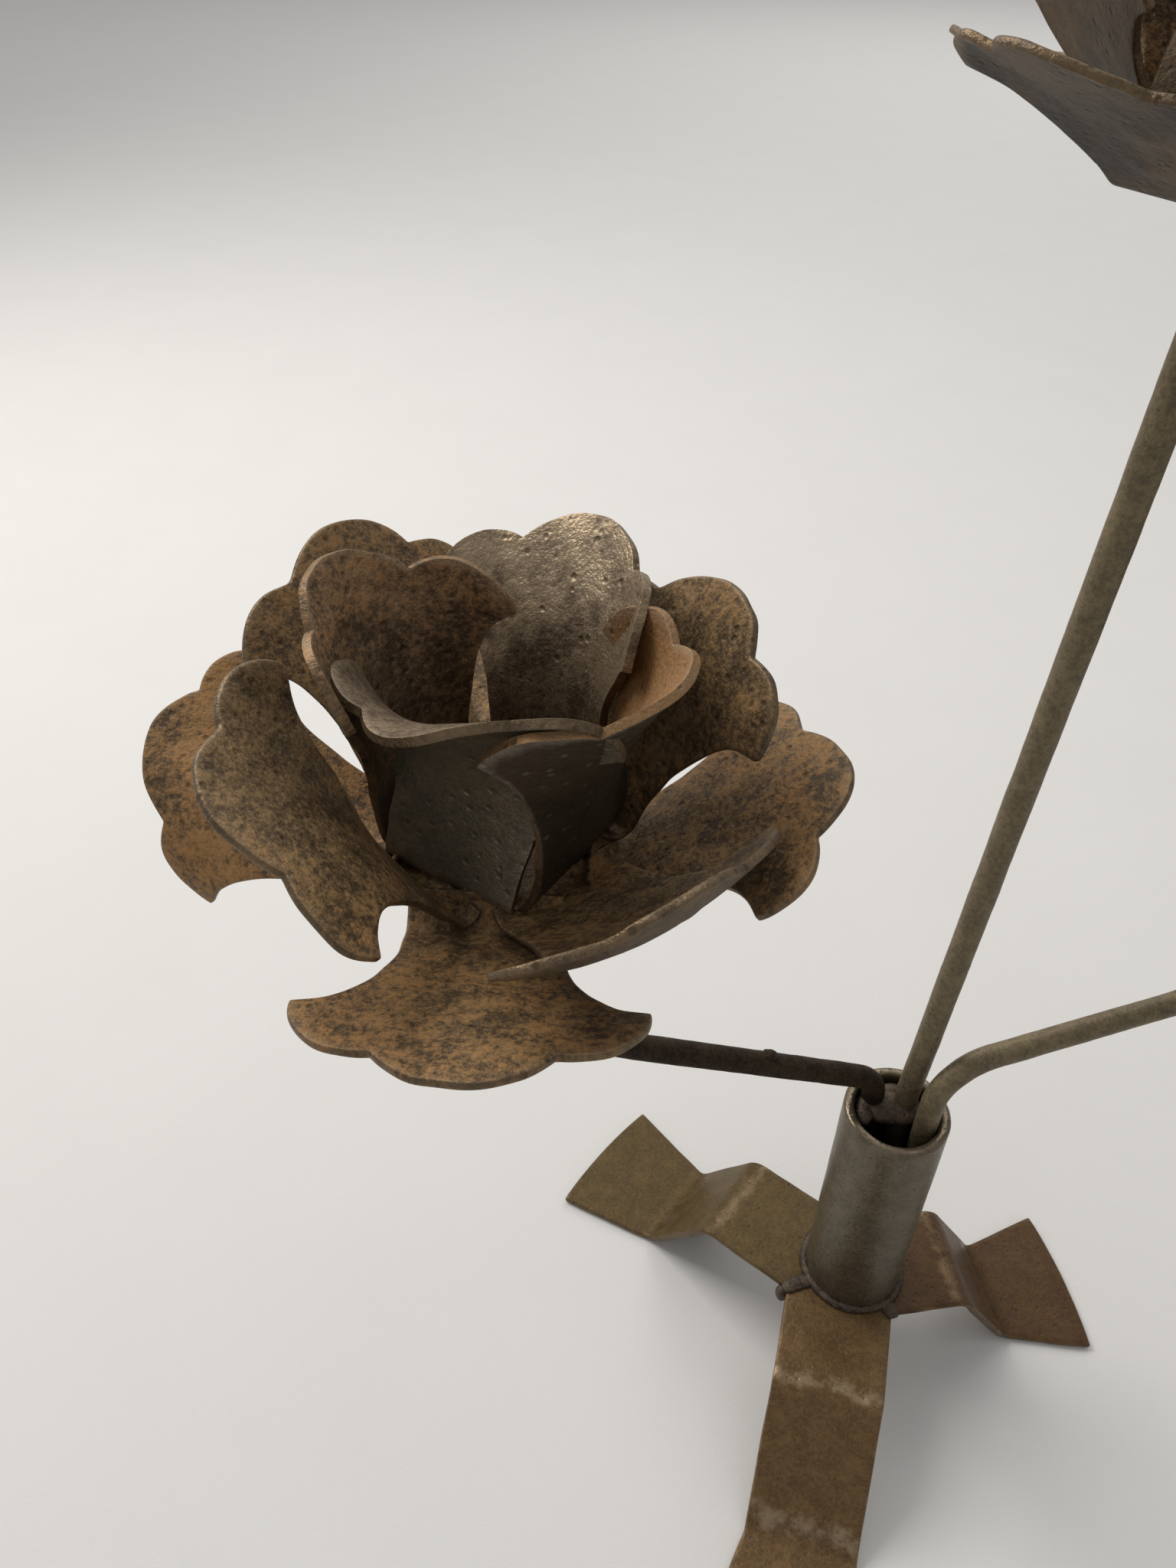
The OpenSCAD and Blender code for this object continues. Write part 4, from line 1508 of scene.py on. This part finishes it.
@dataclass
class CandleHolder:
    """The whole holder, built from the table up."""

    materials: Finishes
    foot_z: float
    mouth_z: float
    welds: WeldSizes = WeldSizes()
    rose_seed: float = 10.0

    def bars(self) -> dict[Side, Bar]:
        """The three round bars by the rose that they carry.

        Returns:
            The bars, still without their meshes.
        """
        upright = self.mouth_z - self.foot_z
        # The left bar's darker finish is partly painted shade.
        irons = {Side.LEFT: SHADED_DARK_BAR, Side.TALL: BAR_IRON, Side.RIGHT: BAR_IRON}
        left, tall, right = (
            Piece(f"{side.value}_bar", f"stem_{side.value}", Slot.BAR, [iron])
            for side, iron in irons.items()
        )
        left_steps = [
            Step(upright - 1.4, 198.6, 60.2, 11), Step(68.4, -9.4, 46.9, 40),
            Step(53.5, 57.8, 25.9, 30), Step(7),
        ]
        tall_steps = [Step(upright - 1.0, -42, 2.5, 60), Step(212.9)]
        right_steps = [Step(upright + 6.8, 18, 87.9, 14), Step(50, 198, 86, 38), Step(34)]
        lumps = (Lump(0.44, 190.0, (0.9, 1.6, 2.2)), Lump(0.5, 20.0, (1.1, 1.6, 2.4)))
        return {
            Side.LEFT: Bar(left, 133.9, 0.965, self.foot_z, left_steps, seed=1.0, lumps=lumps),
            Side.TALL: Bar(tall, 54.3, 0.726, self.foot_z, tall_steps, seed=2.0),
            Side.RIGHT: Bar(right, -27.9, 0.962, self.foot_z, right_steps, seed=3.0),
        }

    def weld(
        self, name: str, node: str, seed: float, rows: Sequence[Row], frame: Matrix = Matrix()
    ) -> None:
        """Builds one weld.

        Args:
            name: The piece's name.
            node: The node that it stands for.
            seed: Seed of its lumps.
            rows: Its rows of lumps.
            frame: Frame of the rows, the whole's own if none is given.
        """
        Bead(Piece(name, node, Slot.WELD, [WELD_BEAD]), seed, rows).build(frame, self.materials)

    def build_legs(self) -> list[Vector]:
        """Builds the legs.

        Returns:
            The notch between each leg and the next.
        """
        # The right leg's darker finish is painted shade.
        irons = {"front": LEG_IRON, "right": RED_LEG_PAINTED_SHADE, "left": OLIVE_LEG}
        front, right, left = (
            Piece(f"{side}_leg", f"leg_{side}", Slot.FLAT, [iron]) for side, iron in irons.items()
        )
        legs = [
            FlatLeg(front, -105.3, -2.1, shoulder=39.6, heel=68.2, toe=98, height=self.foot_z, seed=11),
            FlatLeg(right, 9.6, -1, shoulder=30.5, heel=47.6, toe=71.9, height=self.foot_z, seed=12),
            FlatLeg(left, 141.7, 3, shoulder=40.5, heel=59.1, toe=89, height=self.foot_z, seed=13),
        ]
        notches = [leg.meets(following) for leg, following in zip(legs, legs[1:] + legs[:1])]
        for index, leg in enumerate(legs):
            leg.build(notches[index - 1], notches[index], self.materials)
        return notches

    def seams(self, notches: Sequence[Vector]) -> list[Row]:
        """Seams between the front leg and the others, with a drop under the left one.

        Args:
            notches: Notch between each leg and the next.

        Returns:
            The rows of lumps.
        """
        sizes, top = self.welds, Vector((0, 0, self.foot_z))
        right, left = notches[0], notches[2]
        seams = []
        for notch in (right, left):
            out = notch.normalized().to_3d()
            start, end = out * sizes.seam_from + top, notch.to_3d() + top - out * sizes.seam_stop
            seams.append(line_row(start, end, sizes.seam_lumps, sizes.seam))
        drop = left.to_3d() + left.normalized().to_3d() * sizes.drop_out
        drop.z = self.foot_z - sizes.drop_down
        return [*seams, [(drop, sizes.drop_turn, sizes.drop)]]

    def build_stand(self) -> None:
        """Builds the legs, the pipe and their welds."""
        notches = self.build_legs()
        pipe = Piece("socket", "socket_pipe", Slot.PIPE, [PIPE_STEEL])
        PipeSocket(pipe, self.foot_z, self.mouth_z - self.foot_z, seed=5).build(self.materials)
        self.weld("leg_seams", "leg_welds", seed=21, rows=self.seams(notches))
        sizes = self.welds
        foot = ring_row(sizes.foot_r, self.foot_z + sizes.foot_rise, sizes.foot_lumps, sizes.foot)
        self.weld("pipe_foot_bead", "pipe_base_weld", seed=22, rows=[foot])
        place = Vector((*sizes.pool_place, self.mouth_z - sizes.pool_down))
        pool = line_row(place, place, 1, sizes.pool)
        height = self.mouth_z - sizes.mouth_down
        rim = ring_row(sizes.mouth_r, height, sizes.mouth_lumps, sizes.mouth, sizes.mouth_span)
        self.weld("mouth_bead", "mouth_weld", seed=23, rows=[pool, rim])

    @staticmethod
    def sheet_piece(side: Side, tier: Tier) -> Piece:
        """Names one sheet of a rose and chooses its finishes.

        Args:
            side: Which rose it belongs to.
            tier: Which of the rose's sheets it is.

        Returns:
            The piece, still without its mesh.
        """
        slot, upper, under = Slot.PETAL, PETAL_UPPER, PETAL_UNDER
        if tier is Tier.CUP:
            slot, upper = Slot.CUP, CUP_UPPER
            # The left cup's outer face takes the finish with painted light and painted shade.
            under = CUP_UNDER_PAINTED_LIGHT_AND_SHADE if side is Side.LEFT else PETAL_UNDER
        name, node = f"{side.value}_rose_{tier.value}_sheet", f"{side.value}_{tier.value}_petals"
        return Piece(name, node, slot, [upper, under, PETAL_RIM])

    def build_roses(self) -> None:
        """Builds the bars and the rose on each of them."""
        sizes = self.welds
        bead = ring_row(sizes.rose_r, -sizes.rose_down, sizes.rose_lumps, sizes.rose)
        for number, (side, bar) in enumerate(self.bars().items()):
            bar.build(self.materials)
            end = bar.end()
            for tier, (turn, petals) in ROSE_PETALS[side].items():
                seed = self.rose_seed * number + len(tier.value)
                sheet = Sheet(self.sheet_piece(side, tier), BLANKS[tier], turn, petals, seed)
                sheet.build(end, self.materials)
            name, node = f"{side.value}_rose_bead", f"{side.value}_rose_weld"
            self.weld(name, node, seed=24 + number, rows=[bead], frame=end)


@dataclass(frozen=True)
class Lamp:
    """Soft square lamp: where it hangs, its side, its watts and its colour."""

    name: str
    place: Triple
    size: float
    watts: float
    colour: Colour = (1.0, 1.0, 1.0)
    target: Triple = (-30.0, 0.0, 200.0)

    def hang(self) -> None:
        """Adds the lamp to the scene."""
        data = bpy.data.lights.new(self.name, "AREA")
        data.shape, data.size = "SQUARE", self.size * METRES
        data.energy, data.color = self.watts, self.colour
        place = Vector(self.place) * METRES
        facing = (place - Vector(self.target) * METRES).to_track_quat("Z", "Y")
        lamp = bpy.data.objects.new(self.name, data)
        lamp.matrix_world = Matrix.Translation(place) @ facing.to_matrix().to_4x4()
        bpy.context.scene.collection.objects.link(lamp)


LAMPS = (
    Lamp("window", (-750.0, 550.0, 1050.0), 700.0, 10.5, (1.0, 0.98, 0.95)),
    Lamp("overhead", (250.0, 150.0, 1300.0), 900.0, 2.0),
    Lamp("far_window", (700.0, 2200.0, 1600.0), 1600.0, 16.0, target=(400.0, 1600.0, 0.0)),
)


@dataclass
class Studio:
    """Floor, soft light and the camera at the photograph's place."""

    eye: Vector
    pitch: float
    roll: float
    focal_px: float
    frame_px: float = 2048.0
    sensor: float = 36.0
    clip: Span = (10.0, 30000.0)
    floor_half: float = 8000.0
    sky: Colour = (0.97, 0.98, 1.0)
    sky_strength: float = 0.45

    def camera(self) -> None:
        """Places the camera and makes it the scene's own."""
        data = bpy.data.cameras.new("view")
        data.sensor_fit = "VERTICAL"
        data.sensor_height = self.sensor
        data.lens = self.focal_px / self.frame_px * self.sensor
        data.clip_start, data.clip_end = (METRES * end for end in self.clip)
        view = bpy.data.objects.new("view", data)
        tilt = Matrix.Rotation(math.radians(90 - self.pitch), 4, "X")
        turn = Matrix.Rotation(math.radians(self.roll), 4, "Z")
        view.matrix_world = Matrix.Translation(self.eye * METRES) @ tilt @ turn
        bpy.context.scene.collection.objects.link(view)
        bpy.context.scene.camera = view

    def floor(self, material: bpy.types.Material) -> None:
        """Lays the plain floor under the feet.

        Args:
            material: The floor's finish.
        """
        bm = bmesh.new()
        bmesh.ops.create_grid(bm, x_segments=2, y_segments=2, size=self.floor_half * METRES)
        mesh = bpy.data.meshes.new("floor")
        bm.to_mesh(mesh)
        bm.free()
        mesh.materials.append(material)
        ground = bpy.data.objects.new("floor", mesh)
        bpy.context.scene.collection.objects.link(ground)

    def light(self) -> None:
        """Sets the world's light and hangs the lamps."""
        world = bpy.data.worlds.new("studio")
        world.use_nodes = True
        sky = world.node_tree.nodes["Background"]
        sky.inputs["Color"].default_value = (*self.sky, 1.0)
        sky.inputs["Strength"].default_value = self.sky_strength
        bpy.context.scene.world = world
        for lamp in LAMPS:
            lamp.hang()


def main() -> None:
    """Builds the holder, its floor, light and camera."""
    logging.basicConfig(level=logging.INFO, format="%(message)s")
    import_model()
    bpy.context.scene.view_settings.view_transform = "Standard"
    studio = Studio(eye=Vector((-79.75, -181.66, 359.3)), pitch=39.5, roll=1.0, focal_px=1560.0)
    studio.camera()
    studio.floor(FLOOR_CLOTH.make())
    studio.light()
    foot_z, mouth_z = (round(corner.z / METRES, 2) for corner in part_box("socket_pipe"))
    holder = CandleHolder({iron.name: iron.make() for iron in IRONS}, foot_z, mouth_z)
    holder.build_stand()
    holder.build_roses()
    bpy.context.view_layer.update()


if __name__ == "__main__":
    main()
